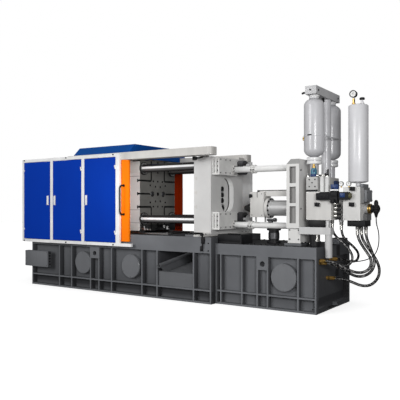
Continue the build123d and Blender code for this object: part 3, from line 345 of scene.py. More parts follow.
@dataclass(frozen=True)
class Steel(Finish):
    """Machined or drawn steel with fine tool lines along one axis and stains.

    Attributes:
        colour: Base colour.
        grain: Axis across which the tool lines repeat.
        roughness: Mean roughness.
        stain: Strength of the darker stains.
        metallic: Share of metal.
    """

    colour: Colour
    grain: Axis = Axis.X
    roughness: float = 0.3
    stain: float = 0.35
    metallic: float = 1.0

    def sockets(self, graph: Graph) -> Sockets:
        """Tool lines under stains."""
        lines = graph.noise(24, 3, tuple(1 + 29 * part for part in self.grain.value[2]))
        stains = graph.spots(7, 5, 0.45, 0.75) * self.stain
        return dict(Base_Color=graph.mix(stains, self.colour, toned(self.colour, 0.55)),
                    Metallic=self.metallic,
                    Roughness=self.roughness + lines * 0.1 + stains * 0.2,
                    Normal=graph.bump(lines, 0.08, 0.0004))


@dataclass(frozen=True)
class Chrome(Finish):
    """Hard chromed bar along x, painted as a dark reflection with a painted highlight: the bright
    band that a long lamp would leave on it.

    Attributes:
        bright: Colour of the painted highlight band.
        dark: Colour of the rest, a painted dark reflection.
    """

    bright: Colour = (0.95, 0.95, 0.96)
    dark: Colour = (0.022, 0.02, 0.02)

    def sockets(self, graph: Graph) -> Sockets:
        """A sharp painted highlight band, a soft painted glow below it and wiped streaks."""
        # Painted reflection: the base colour is a bright band and a faint glow, chosen by the
        # normal's tilt, on a dark ground.
        tilt = graph.facing(Axis.Z)
        band = graph.ramp(tilt, 0.4, 0.28) * graph.ramp(tilt, -0.2, -0.06)
        soft = graph.ramp(tilt, -0.85, -0.3) * graph.ramp(tilt, 0.5, 0.3) * 0.14
        wiped = graph.spots(9, 4, 0.3, 0.7, (1, 6, 6))
        return dict(Base_Color=graph.mix(band + soft, self.dark, self.bright), Metallic=0.1,
                    Roughness=0.22 + wiped * 0.06, Specular_IOR_Level=0.15,
                    Normal=graph.bump(wiped, 0.03, 0.0003))


@dataclass(frozen=True)
class Grease(Finish):
    """Black rubber, plastic or blackened steel with a dull, slightly dusty skin.

    Attributes:
        colour: Base colour.
        roughness: Mean roughness.
    """

    colour: Colour = OIL_BLACK
    roughness: float = 0.5

    def sockets(self, graph: Graph) -> Sockets:
        """Dusty clouds."""
        cloud = graph.spots(18, 5, 0.35, 0.75)
        return dict(Base_Color=graph.mix(cloud * 0.6, self.colour, toned(self.colour, 1.9, 0.004)),
                    Roughness=self.roughness + cloud * 0.15, Specular_IOR_Level=0.22,
                    Normal=graph.bump(graph.noise(260, 3), 0.12, SKIN))


@dataclass(frozen=True)
class PlatenFace(Finish):
    """White cast platen with a ground, oily grey die face whose slots and holes are painted black
    as shade, and with painted light and shade in the rear recess.

    Attributes:
        face: Object x of the die face, in metres.
        towards: 1 where the die face looks along +x, else -1.
        depth: Depth of slots and holes behind the face.
        half_width: Half width of the ground face.
        foot: Object z below which the face is black.
        recess_half: Half width of the recess in the rear.
        recess: Depths behind the die face where the painted light on the recess wall starts and
            where the recess ends.
        painted_corner_shade: Depths behind the die face between which the recess's floor corner is
            painted dark as shade.
    """

    face: float
    towards: int
    depth: float = 0.145
    half_width: float = 0.4285
    foot: float = 1.005
    recess_half: float = 0.1715
    recess: tuple[float, float] = (0.208, 0.2765)
    painted_corner_shade: tuple[float, float] = (0.1892, 0.206)

    def sockets(self, graph: Graph) -> Sockets:
        """Cast white, then the ground face, lighter towards the middle, painted light on the recess
        wall, painted shade in the recess's floor corner, the black foot and painted shade in the
        slots and holes.
        """
        inward = (graph.along(Axis.X) - self.face) * float(-self.towards)
        across = graph.across()
        mask = (inward < self.depth) * (across < self.half_width)
        white = graph.mix(graph.clouding(), (0.60, 0.595, 0.59), (0.68, 0.675, 0.665))
        scour = graph.spots(5, 5, 0.35, 0.7)
        # The ground face is a little lighter towards the middle.
        lighter_middle = graph.ramp(across, 0.42, 0.05) * 0.12
        grey = graph.mix(scour * 0.5 + lighter_middle, (0.10, 0.098, 0.09), (0.18, 0.175, 0.165))
        colour = graph.mix(mask, white, grey)
        recess = (across < self.recess_half) * (inward < self.recess[1])
        painted_corner_shade = recess * (inward < self.painted_corner_shade[1]) * (inward > self.painted_corner_shade[0])
        # Painted light: the recess wall between these depths is lit near white.
        colour = graph.mix(recess * (inward > self.recess[0]), colour, (0.95, 0.95, 0.94))
        # Painted shade: the corner by the recess floor is dark.
        colour = graph.mix(painted_corner_shade, colour, (0.03, 0.03, 0.03))
        colour = graph.mix(mask * (graph.along(Axis.Z) < self.foot), colour, (0.02, 0.02, 0.02))
        # Painted shade: the inside of the slots and holes behind the die face is black.
        colour = graph.mix(mask * (inward > SKIN), colour, (0.008, 0.008, 0.008))
        return dict(Base_Color=colour, Roughness=0.42 + scour * 0.12, Metallic=mask * 0.2,
                    Normal=graph.bump(graph.noise(300, 3), 0.08, SKIN))


@dataclass(frozen=True)
class Weldment(Finish):
    """Grey base enamel whose level tops are covered in black oil and grit, with painted shade in
    the recessed bays, low down and on faces that look along +x.

    Attributes:
        colour: Enamel colour.
        deck: Object z above which level faces are dark, in metres.
        deck_colour: Colour of those faces and of the painted shade.
        sole: Object z above which everything is painted white, in metres.
        sole_start: Object x where that white starts, in metres.
        sole_colour: The white.
        joint: Object x where the narrower section starts, in metres.
        step_in: How much narrower that section is on each side.
        skin: Distances from the middle plane where the painted shade of the bays starts and is
            full.
        cell_top: Object z up to which the lowest row of bays is painted darker as shade.
    """

    colour: Colour
    deck: float = 0.785
    deck_colour: Colour = OIL_BLACK
    sole: float = 9.0
    sole_start: float = 0.765
    sole_colour: Colour = (0.55, 0.545, 0.53)
    joint: float = 1.075
    step_in: float = 0.115
    skin: tuple[float, float] = (0.69, 0.6)
    cell_top: float = 0.163

    def sockets(self, graph: Graph) -> Sockets:
        """Enamel, then painted shade in the bays, low down and on +x faces, the oily deck and the
        white sole.
        """
        height, lengthwise, up = graph.along(Axis.Z), graph.along(Axis.X), graph.facing(Axis.Z)
        enamel = graph.mix(graph.spots(1.8, 4, 0.3, 0.7), toned(self.colour, 0.86),
                           toned(self.colour, 1.1))
        # Painted shade: the recessed bays, more so low down and in the lowest row, and every face
        # that looks along +x are darkened towards the deck colour.
        shot_side = lengthwise > self.joint
        wall = graph.ramp(graph.across() + shot_side * self.step_in, *self.skin)
        wall = wall * (1 - shot_side * 0.55)
        low = graph.ramp(height, 0.9, 0.1)
        cell = wall * graph.ramp(height, 0.04, 0.15) * (height < self.cell_top) * (up < 0.5)
        painted_shade = wall * (low * 0.4 + 0.1) + (graph.facing(Axis.X) > 0.7) * 0.42 + cell * 0.7
        enamel = graph.mix(painted_shade.maths("MINIMUM", 0.8), enamel, self.deck_colour)
        grit = graph.spots(25, 6, 0.35, 0.8)
        oily = graph.mix(grit, self.deck_colour, toned(self.deck_colour, 3))
        colour = graph.mix((height > self.deck) * (up > 0.5), enamel, oily)
        sole = (height > self.sole) * (lengthwise > self.sole_start)
        return dict(Base_Color=graph.mix(sole, colour, self.sole_colour),
                    Roughness=0.5 + grit * 0.15, Specular_IOR_Level=0.1,
                    Normal=graph.bump(graph.noise(380, 2), 0.06, SKIN))


@dataclass(frozen=True)
class Halves(Finish):
    """Two paints on one set of pieces, parted at a plane.

    Attributes:
        axis: Coordinate that decides.
        limit: Where the second colour starts, in metres.
        low: Colour below the limit.
        high: Colour above it.
        roughness: Mean roughness.
        metallic: Share of metal.
    """

    axis: Axis
    limit: float
    low: Colour
    high: Colour
    roughness: float = 0.42
    metallic: float = 0.0

    def sockets(self, graph: Graph) -> Sockets:
        """Both colours under faint dark clouds."""
        cloud = graph.spots(6, 4, 0.3, 0.7)
        colour = graph.mix(graph.along(self.axis) > self.limit, self.low, self.high)
        return dict(Base_Color=graph.mix(cloud * 0.16, colour, (0.02, 0.02, 0.02)),
                    Roughness=self.roughness + cloud * 0.1, Metallic=self.metallic,
                    Normal=graph.bump(graph.noise(300, 2), 0.07, SKIN))


@dataclass(frozen=True)
class Pocketed(Finish):
    """White casting whose pockets, between two x and behind its front face, lie in grey shade.

    Attributes:
        face: Object y of the front face, in metres.
        left: Object x where the pockets start.
        right: Object x where they end.
        sill: Object z where the lowest pocket starts.
        crown: Object z above which the front face is grey.
    """

    face: float = -0.3985
    left: float = 2.05
    right: float = 2.1475
    sill: float = 1.03
    crown: float = 1.808

    def sockets(self, graph: Graph) -> Sockets:
        """Clouded white, grey pockets and the grey crown."""
        cloud, height, lengthwise = graph.clouding(), graph.along(Axis.Z), graph.along(Axis.X)
        hollow = (graph.along(Axis.Y) > self.face) * (lengthwise > self.left)
        hollow = hollow * (lengthwise < self.right) * (height > self.sill)
        white = graph.mix(cloud, (0.62, 0.615, 0.605), (0.72, 0.715, 0.70))
        colour = graph.mix(hollow, white, (0.27, 0.265, 0.26))
        crown = (height > self.crown) * (graph.facing(Axis.Y) < -0.7)
        return dict(Base_Color=graph.mix(crown, colour, (0.30, 0.30, 0.295)),
                    Roughness=0.42 + cloud * 0.08, Specular_IOR_Level=0.3,
                    Normal=graph.bump(graph.noise(420, 2), 0.06, SKIN))


@dataclass(frozen=True)
class Hose(Finish):
    """Rubber hose with the relief of its fabric and pale painted highlights on the side towards the
    front.
    """

    def sockets(self, graph: Graph) -> Sockets:
        """Black rubber with wear and pale painted highlights towards the front."""
        wear = graph.spots(12, 4, 0.5, 0.8)
        front = graph.ramp(graph.facing(Axis.Y), -0.55, -0.9)
        # Painted highlights: pale dashes where the hose faces the front lamp.
        painted_glints = graph.spots(42, 2, 0.52, 0.6) * front * 0.5
        black = graph.mix(wear * 0.5, OIL_BLACK, (0.02, 0.02, 0.022))
        return dict(Base_Color=graph.mix(painted_glints, black, (0.42, 0.41, 0.40)),
                    Roughness=0.25 + wear * 0.2, Coat_Weight=0.15,
                    Normal=graph.bump(graph.noise(320, 2) + graph.noise(70, 2), 0.3, 0.0025))


WHITE = (0.62, 0.61, 0.59)
BASE_GREY = (0.15, 0.155, 0.166)
BLUE = (0.0003, 0.040, 0.40)

FINISHES = {finish.name: finish for finish in (
    Weldment("base_enamel", "base_paint", BASE_GREY),
    Weldment("sole_enamel", "base_paint", BASE_GREY, sole=0.8745),
    Paint("cover_enamel", "base_paint", (0.15, 0.155, 0.165), 0.4, 0.1),
    # Base paint near black, as painted shade on the rear corner rib and under the base's end.
    Paint("corner_shade_enamel", "base_paint", (0.03, 0.03, 0.032), 0.5, 0.05),
    Paint("chute_enamel", "base_paint", (0.12, 0.124, 0.132), 0.45, 0.1),
    Paint("casting_white", "machine_paint", WHITE, 0.4),
    Paint("frame_enamel", "frame_white", (0.86, 0.86, 0.86), 0.35),
    Paint("track_enamel", "frame_white", (0.60, 0.585, 0.56), 0.38),
    Paint("bottle_enamel", "bottle_paint", (0.58, 0.58, 0.60), 0.16, 0.05, 0.008),
    Sheet("guard_blue", "panel_blue", BLUE, (0.0002, 0.030, 0.33), -0.7735),
    Sheet("hood_blue", "panel_blue", (0.0006, 0.06, 0.28), (0.0005, 0.04, 0.20)),
    Sheet("door_orange", "door_orange", (0.92, 0.20, 0.002), (0.88, 0.18, 0.002)),
    # The rear door: the front door's orange, painted darker as shade.
    Sheet("door_orange_in_shade", "door_orange", (0.40, 0.028, 0.001), (0.28, 0.018, 0.001)),
    Chrome("chromed_bar", "chrome"),
    Steel("ground_steel", "machined_steel", (0.38, 0.38, 0.38), Axis.X, 0.3),
    Steel("turned_steel", "machined_steel", (0.50, 0.50, 0.50), Axis.X, 0.4, 0.3, 0.35),
    Steel("bright_steel", "machined_steel", (0.66, 0.65, 0.62), Axis.Z, 0.22, 0.2),
    Steel("dark_steel", "machined_steel", (0.10, 0.10, 0.105), Axis.Z, 0.38, 0.5),
    Steel("brass", "brass", (0.50, 0.33, 0.11), Axis.Z, 0.3, 0.3),
    Grease("black_plastic", "black_plastic"),
    Grease("black_rubber", "black_rubber", (0.01, 0.01, 0.01), 0.6),
    Grease("black_steel", "black_steel", (0.008, 0.008, 0.009), 0.42),
    PlatenFace("moving_platen_casting", "machine_paint", -0.35, 1),
    PlatenFace("fixed_platen_casting", "machine_paint", 0.629, -1),
    # Tie bar nuts: near ones white, far ones painted dark as the shade of their pockets.
    Halves("tie_bar_ends_far_shaded", "machine_paint", Axis.Y, 0.12,
           (0.76, 0.755, 0.74), (0.05, 0.05, 0.055)),
    Halves("shot_line_paint", "machined_steel", Axis.X, 1.196,
           (0.33, 0.33, 0.33), (0.012, 0.012, 0.012)),
    Halves("valve_block_paint", "machine_paint", Axis.X, 2.428,
           (0.46, 0.46, 0.45), (0.70, 0.70, 0.69)),
    Halves("rod_paint", "machine_paint", Axis.X, 1.02, WHITE, (0.86, 0.86, 0.85)),
    Pocketed("frame_casting", "machine_paint"),
    Halves("end_block_paint", "machine_paint", Axis.X, 2.9475,
           (0.66, 0.655, 0.64), (0.15, 0.15, 0.152)),
    Halves("fitting_metal", "brass", Axis.Z, 0.9,
           (0.50, 0.30, 0.08), (0.16, 0.155, 0.15), 0.3, 0.6),
    Paint("gas_enamel", "bottle_paint", (0.70, 0.70, 0.72), 0.2, 0.05, 0.008),
    Paint("head_enamel", "bottle_paint", (0.56, 0.56, 0.57), 0.5, 0.05),
    Paint("solenoid_blue", "panel_blue", (0.004, 0.03, 0.13), 0.35),
    Paint("solenoid_pale", "panel_blue", (0.06, 0.20, 0.30), 0.3),
    Paint("olive_cap", "black_plastic", (0.08, 0.075, 0.03), 0.4),
    Paint("arm_enamel", "frame_white", (0.58, 0.58, 0.58), 0.4),
    Paint("dial_white", "frame_white", (0.75, 0.75, 0.74), 0.25, 0.0),
    Hose("hose_rubber", "black_hose"),
    Grease("cable_rubber", "black_hose", (0.004, 0.004, 0.004)),
)}
BUILT: dict[str, bpy.types.Material] = {}


def material(name: str) -> bpy.types.Material:
    """The named finish's material, made once."""
    if name not in BUILT:
        BUILT[name] = FINISHES[name].build()
    return BUILT[name]


NODE_FINISHES = {
    "base_enamel": ("base_clamp_section", "base_low_sections", "base_beams", "base_ribs",
                    "base_stiffeners", "junction_box"),
    "sole_enamel": ("base_plates",),
    "chute_enamel": ("casting_chute",),
    "cover_enamel": ("base_covers",),
    "casting_white": ("tail_platen", "clamp_cylinder", "plunger_coupling", "front_manifold",
                      "rear_manifold"),
    "end_block_paint": ("end_manifold",),
    "frame_casting": ("shot_frame",),
    "moving_platen_casting": ("moving_platen",),
    "fixed_platen_casting": ("fixed_platen",),
    "tie_bar_ends_far_shaded": ("tie_bar_nuts",),
    "valve_block_paint": ("valve_block",),
    "rod_paint": ("shot_frame_rods",),
    "shot_line_paint": ("plunger_rod",),
    "frame_enamel": ("front_guard_frame", "rear_guard_frame", "end_guard"),
    "arm_enamel": ("valve_arm",),
    "track_enamel": ("front_door_track", "rear_door_track"),
    "bottle_enamel": ("accumulators", "accumulator_pipes", "nitrogen_bottle"),
    "head_enamel": ("accumulator_head",),
    "guard_blue": ("guard_door_1", "guard_door_2", "guard_door_3", "guard_panels"),
    "hood_blue": ("hood",),
    "door_orange": ("front_safety_door",),
    "door_orange_in_shade": ("rear_safety_door",),
    "chromed_bar": ("tie_bars", "clamp_rod"),
    "ground_steel": ("slide_ways", "platen_shoes"),
    "turned_steel": ("shot_cylinder", "manifold_fittings"),
    "fitting_metal": ("hose_fittings",),
    "black_plastic": ("front_door_handle", "rear_door_handle", "connector_blocks",
                      "solenoid_valves"),
    "black_rubber": ("platen_bushings",),
    "black_steel": ("levelling_jack", "drip_tray"),
}


def dress_frame() -> None:
    """Give every CAD node its finish."""
    for finish, nodes in NODE_FINISHES.items():
        for node in nodes:
            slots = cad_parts[node].data.materials
            if len(slots):
                slots[0] = material(finish)
            else:
                slots.append(material(finish))
    log.info("dressed %d finishes", len(NODE_FINISHES))


# Shapes


class Form:
    """Closed shapes in millimetres, gathered into one mesh."""

    def __init__(self) -> None:
        """Start empty."""
        self.mesh = bmesh.new()

    def box(self, low: Point, high: Point, bevel: float = 0.0) -> "Form":
        """Add a box, with rounded edges where bevel is given.

        Args:
            low: Lowest corner.
            high: Highest corner.
            bevel: Radius of the edges.

        Returns:
            This form.
        """
        middle = Vector([(a + b) / 2 for a, b in zip(low, high)])
        size = [abs(b - a) for a, b in zip(low, high)]
        place_and_size = Matrix.Translation(middle) @ Matrix.Diagonal((*size, 1))
        made = bmesh.ops.create_cube(self.mesh, size=1.0, matrix=place_and_size)
        if bevel:
            edges = dict.fromkeys(edge for vertex in made["verts"] for edge in vertex.link_edges)
            bmesh.ops.bevel(self.mesh, geom=list(edges), offset=bevel, segments=2,
                            affect="EDGES", profile=0.5)
        return self

    def turned(self, centre: Point, axis: Axis, profile: list[tuple[float, float]],
               segments: int = 40) -> "Form":
        """Add a turned shape.

        Args:
            centre: Where the profile's zero lies.
            axis: Axis of rotation.
            profile: Radius and height pairs from one end to the other.
            segments: Faces round it.

        Returns:
            This form.
        """
        across, up, along = (Vector(part) for part in axis.value)
        rings = []
        for radius, height in profile:
            base = Vector(centre) + along * height
            if radius <= 0:
                rings.append([self.mesh.verts.new(base)])
                continue
            turns = [FULL_TURN * index / segments for index in range(segments)]
            spokes = [across * math.cos(turn) + up * math.sin(turn) for turn in turns]
            rings.append([self.mesh.verts.new(base + spoke * radius) for spoke in spokes])
        return self.skin(rings, segments)

    def skin(self, rings: list[list[bmesh.types.BMVert]], count: int) -> "Form":
        """Join rings of vertices by faces and close both ends; a ring may be one point."""
        for lower, upper in zip(rings, rings[1:]):
            for index in range(count):
                after = (index + 1) % count
                face = [lower[index % len(lower)], lower[after % len(lower)],
                        upper[after % len(upper)], upper[index % len(upper)]]
                self.mesh.faces.new(list(dict.fromkeys(face)))
        for ring in (rings[0], rings[-1]):
            if len(ring) > 1:
                self.mesh.faces.new(ring)
        return self

    def rod(self, start: Point, axis: Axis, length: float, radius: float, chamfer: float = 2.0,
            segments: int = 28) -> "Form":
        """Add a round bar with chamfered ends."""
        profile = [(radius - chamfer, 0), (radius, chamfer), (radius, length - chamfer),
                   (radius - chamfer, length)]
        return self.turned(start, axis, profile, segments)

    def bow(self, x: float, y: tuple[float, float], z: tuple[float, float], corner: float,
            radius: float) -> "Form":
        """Add a bow handle: a round bar that runs out from a face, along it and back.

        Args:
            x: The plane that it lies in.
            y: Face of the door and centre line of the grip.
            z: Centre lines of the lower and upper leg.
            corner: Radius of the bends.
            radius: Radius of the bar.

        Returns:
            This form.
        """
        steps = [math.pi / 2 * step / BEND_STEPS for step in range(BEND_STEPS + 1)]
        angles = [FULL_TURN * index / BAR_FACETS for index in range(BAR_FACETS)]
        line = [(y[0], z[0], 0.0)]
        line += [(y[1] + corner * (1 - math.sin(turn)), z[0] + corner * (1 - math.cos(turn)), turn)
                 for turn in steps]
        line += [(y[1] + corner * (1 - math.cos(turn)), z[1] - corner * (1 - math.sin(turn)),
                  math.pi / 2 + turn) for turn in steps]
        line.append((y[0], z[1], math.pi))
        rings = []
        for across, up, turn in line:
            outward = Vector((0, -math.sin(turn), -math.cos(turn)))
            rings.append([self.mesh.verts.new(Vector((x, across, up)) + radius * (
                Vector((math.cos(angle), 0, 0)) + outward * math.sin(angle))) for angle in angles])
        return self.skin(rings, BAR_FACETS)

    def mesh_data(self, name: str) -> bpy.types.Mesh:
        """The finished mesh, in metres, with its faces outwards and its smooth parts smooth."""
        bmesh.ops.recalc_face_normals(self.mesh, faces=self.mesh.faces)
        bmesh.ops.scale(self.mesh, vec=(MM, MM, MM), verts=self.mesh.verts)
        data = bpy.data.meshes.new(name)
        self.mesh.to_mesh(data)
        self.mesh.free()
        data.shade_smooth()
        data.set_sharp_from_angle(angle=SHARP_ANGLE)
        return data

    def piece(self, name: str, finish: str, body: str = ROOT, stands_for: tuple[str, ...] = ()
              ) -> bpy.types.Object:
        """Turn the form into a piece of the machine.

        Args:
            name: Piece name.
            finish: Finish name.
            body: The body that it rides on.
            stands_for: CAD nodes that it replaces.

        Returns:
            The new object.
        """
        return place(self.mesh_data(name), name, finish, body, stands_for)


def linked(name: str, data: bpy.types.ID) -> bpy.types.Object:
    """A new object of the scene that shows this data."""
    made = bpy.data.objects.new(name, data)
    bpy.context.scene.collection.objects.link(made)
    return made


def evaluated(source: bpy.types.Object) -> bpy.types.Mesh:
    """A mesh of an object as it is after its modifiers."""
    depsgraph = bpy.context.evaluated_depsgraph_get()
    return bpy.data.meshes.new_from_object(source.evaluated_get(depsgraph), depsgraph=depsgraph)


def place(data: bpy.types.Mesh, name: str, finish: str, body: str = ROOT,
          stands_for: tuple[str, ...] = ()) -> bpy.types.Object:
    """Put a mesh in the scene as a piece.

    Args:
        data: The mesh.
        name: Piece name.
        finish: Finish name.
        body: The body that it rides on.
        stands_for: CAD nodes that it replaces.

    Returns:
        The new object.
    """
    data.materials.clear()
    data.materials.append(material(finish))
    piece = linked(name, data)
    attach(piece, body)
    if stands_for:
        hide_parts(*stands_for)
    log.info("%s: %d faces", name, len(data.polygons))
    return piece


# Repeated pieces


class Pattern(Enum):
    """Small shapes that repeat, as turned profiles of unit radius, and their facet counts."""

    HEX_BOLT = ([(1.0, 0), (1.0, 0.12), (0.78, 0.12), (0.78, 0.62), (0.6, 0.72)], 6)
    SCREW = ([(1.0, 0), (1.0, 0.8), (0.88, 0.95), (0.5, 0.95), (0.5, 0.45)], 16)
    PLUG = ([(1.0, 0), (1.0, 0.25), (0.55, 0.25), (0.55, 0.05)], 16)


class Repeater:
    """A Geometry Nodes tree that sets one shape on every given place."""

    def __init__(self) -> None:
        """Build the tree with its named inputs."""
        self.tree = bpy.data.node_groups.new("repeat_on_places", "GeometryNodeTree")
        self.socket("Places", "Geometry")
        self.shape = self.socket("Shape", "Object")
        self.radius = self.socket("Radius", "Float")
        self.finish = self.socket("Finish", "Material")
        self.socket("Pieces", "Geometry", "OUTPUT")
        add, link = self.tree.nodes.new, self.tree.links.new
        given, made = add("NodeGroupInput"), add("NodeGroupOutput")
        facing = add("GeometryNodeInputNamedAttribute")
        facing.data_type = "FLOAT_VECTOR"
        facing.inputs["Name"].default_value = "facing"
        turn = add("FunctionNodeAlignRotationToVector")
        turn.axis = "Z"
        info = add("GeometryNodeObjectInfo")
        spread = add("GeometryNodeInstanceOnPoints")
        real = add("GeometryNodeRealizeInstances")
        paint = add("GeometryNodeSetMaterial")
        link(facing.outputs["Attribute"], turn.inputs["Vector"])
        link(given.outputs["Shape"], info.inputs["Object"])
        link(given.outputs["Places"], spread.inputs["Points"])
        link(info.outputs["Geometry"], spread.inputs["Instance"])
        link(turn.outputs["Rotation"], spread.inputs["Rotation"])
        link(given.outputs["Radius"], spread.inputs["Scale"])
        link(spread.outputs["Instances"], real.inputs["Geometry"])
        link(real.outputs["Geometry"], paint.inputs["Geometry"])
        link(given.outputs["Finish"], paint.inputs["Material"])
        link(paint.outputs["Geometry"], made.inputs["Pieces"])
        self.shapes: dict[Pattern, bpy.types.Object] = {}

    def socket(self, name: str, kind: str, direction: str = "INPUT") -> str:
        """Add a named socket to the tree and tell its identifier."""
        return self.tree.interface.new_socket(name, in_out=direction,
                                              socket_type="NodeSocket" + kind).identifier

    def template(self, pattern: Pattern) -> bpy.types.Object:
        """The unit shape of a pattern, made once and kept out of the picture."""
        if pattern not in self.shapes:
            profile, facets = pattern.value
            scaled = [(radius / MM, height / MM) for radius, height in profile]
            form = Form().turned((0, 0, 0), Axis.Z, scaled, facets)
            self.shapes[pattern] = linked("template", form.mesh_data(pattern.name.lower()))
        return self.shapes[pattern]

    def lay(self, name: str, pattern: Pattern, places: list[tuple[Point, Point]], radius: float,
            finish: str, body: str = ROOT) -> bpy.types.Object:
        """Set a pattern on places.

        Args:
            name: Piece name.
            pattern: The shape.
            places: Points in millimetres with the direction that each shape faces.
            radius: The shape's radius in millimetres.
            finish: Finish name.
            body: The body that the piece rides on.

        Returns:
            The new object.
        """
        points = bpy.data.meshes.new(name)
        points.from_pydata([[part * MM for part in point] for point, _ in places], [], [])
        attribute = points.attributes.new("facing", "FLOAT_VECTOR", "POINT")
        for index, (_, direction) in enumerate(places):
            attribute.data[index].vector = direction
        seed = linked(name + "_places", points)
        modifier = seed.modifiers.new("repeat", "NODES")
        modifier.node_group = self.tree
        modifier[self.shape] = self.template(pattern)
        modifier[self.radius] = radius * MM
        modifier[self.finish] = material(finish)
        data = evaluated(seed)
        data.name = name
        bpy.data.objects.remove(seed)
        return place(data, name, finish, body)

    def close(self) -> None:
        """Remove the unit shapes from the scene."""
        for shape in self.shapes.values():
            bpy.data.objects.remove(shape)


def circle(centre: Point, axis: Axis, radius: float, count: int, direction: Point,
           start: float = 0.0) -> list[tuple[Point, Point]]:
    """Places round a circle, all facing one way.

    Args:
        centre: Middle of the circle.
        axis: Its normal.
        radius: Its radius.
        count: Number of places.
        direction: The way that they face.
        start: Angle of the first, in degrees.

    Returns:
        The places.
    """
    across, up, _ = (Vector(part) for part in axis.value)
    turns = [math.radians(start) + FULL_TURN * index / count for index in range(count)]
    spokes = [across * math.cos(turn) + up * math.sin(turn) for turn in turns]
    return [(tuple(Vector(centre) + spoke * radius), direction) for spoke in spokes]


def corners(x: tuple[float, float] | float, y: tuple[float, float] | float,
            z: tuple[float, float] | float, direction: Point) -> list[tuple[Point, Point]]:
    """Places at every combination of the given coordinates."""
    lists = [part if isinstance(part, (tuple, list)) else (part,) for part in (x, y, z)]
    return [((a, b, c), direction) for a in lists[0] for b in lists[1] for c in lists[2]]


OUT_FRONT, OUT_BACK, OUT_RIGHT = (0, -1, 0), (0, 1, 0), (1, 0, 0)
UP, DOWN = (0, 0, 1), (0, 0, -1)
SIDES = (-1, 1)
UPPER_ROD_Z, LOWER_ROD_Z = 1792.0, 1022.0
SHOT_AXIS_Z = 1257.0
BLOCK_FACE_Y = -400.0
BOTTLE_X, BOTTLE_Y = 2334.0, 285.0
GAS_X, GAS_Y = 2876.0, -250.0


# Sub-assemblies


@dataclass
class Base:
    """Details of the ribbed base.

    Attributes:
        cover_x: Cover centres under the clamp, then the one under the shot end.
        clamp_face: Distance of the clamp covers' faces from the middle plane.
        shot_face: The same under the shot end.
        cover_z: Height of the cover centres.
        shot_cover_z: Height of the shot end's cover.
        cover_radius: Radius of a cover.
        deck_z: Height of the shot end's deck.
        foot_z: Top of the shot frame's foot.
    """

    cover_x: tuple[float, float, float] = (-1299.8, -330.9, 2053.7)
    clamp_face: float = 658.0
    shot_face: float = 566.0
    cover_z: float = 415.4
    shot_cover_z: float = 408.2
    cover_radius: float = 170.0
    deck_z: float = 792.0
    foot_z: float = 822.0

    def covers(self) -> list[tuple[Point, int]]:
        """Face centres of the six covers, with the side that each looks to."""
        centres = []
        for side in SIDES:
            for x in self.cover_x[:2]:
                centres.append(((x, side * self.clamp_face, self.cover_z), side))
            centres.append(((self.cover_x[2], side * self.shot_face, self.shot_cover_z), side))
        return centres

    def build(self, repeater: Repeater) -> None:
        """Make cover faces, bolts, black plates painted as the shade in slots, the rear corner rib
        painted near black as shade, and the switch of the base.
        """
        plates, bolts = Form(), []
        rim, proud = self.cover_radius - 3, 5
        for (x, y, z), side in self.covers():
            front = y + side * proud
            plates.turned((x, y, z), Axis.Y, [(rim, 0), (rim, side * 2), (rim - 3, side * proud),
                                              (0, side * proud)], 64)
            bolts += circle((x, front, z), Axis.Y, rim - 15, 6, (0, side, 0))
        plates.piece("cover_faces", "cover_enamel")
        repeater.lay("cover_bolts", Pattern.SCREW, bolts, 6, "cover_enamel")
        # Painted shade: thin black plates stand for the shaded insides of a slot and a hole in the
        # base's end.
        slots = Form().box((2480, 90, 655), (2484, 197, 785))
        slots.box((2418, 218, 371), (2422, 329, 468))
        slots.piece("end_slots", "black_steel")
        deck = corners((1165, 1250, 1560, 1720, 1900), (-515, -400, 470), self.deck_z, UP)
        deck += corners((2000, 2204), (-350, -250, 60, 190), self.foot_z, UP)
        deck += corners((2330, 2420), (-520, -420), self.deck_z, UP)
        repeater.lay("deck_bolts", Pattern.HEX_BOLT, deck, 17, "black_steel")
        soles = corners((668, 868), (-600, -500, 500, 600), 900, UP)
        repeater.lay("sole_bolts", Pattern.HEX_BOLT, soles, 15, "dark_steel")
        # Painted shade: the rear corner rib and the strip under the end are near black.
        corner = Form().box((2396, 499, 12), (2481, 574, 651))
        corner.box((2421, -218, 1), (2481, 116, 15), 1)
        corner.piece("rear_corner_rib", "corner_shade_enamel")
        face = corners(1034, -682, (698, 797), OUT_FRONT) + [((2440, -575, 60), OUT_FRONT)]
        repeater.lay("beam_screws", Pattern.SCREW, face, 9, "black_steel")
        self.junction_box(repeater)
        self.lever_switch()

    def lever_switch(self) -> None:
        """Roller lever switch on the front beam, and clamps at the platen's foot."""
        form = Form().box((936, -712, 790), (980, -683, 880), 5)
        form.box((948, -722, 870), (966, -706, 925), 4)
        form.box((925, -716, 690), (955, -690, 760), 5).box((950, -712, 740), (964, -698, 800), 3)
        form.rod((957, -738, 912), Axis.Y, 30, 22, 2, 20)
        for x in (575, 612):
            form.box((x, -520, 875), (x + 28, -480, 893), 3)
        form.piece("lever_switch", "black_plastic")

    def junction_box(self, repeater: Repeater) -> None:
        """Lid, glands and screws of the terminal box."""
        lid = Form().box((-2538, -756, 318), (-2007, -749, 548), 3)
        lid.piece("terminal_box_lid", "cover_enamel")
        glands = [((-1995, -716, z), OUT_RIGHT) for z in (350, 395, 440, 485, 530)]
        repeater.lay("terminal_box_glands", Pattern.HEX_BOLT, glands, 17, "black_plastic")
        screws = corners((-2528, -2017), -756, (328, 538), OUT_FRONT)
        repeater.lay("terminal_box_screws", Pattern.SCREW, screws, 5, "black_steel")


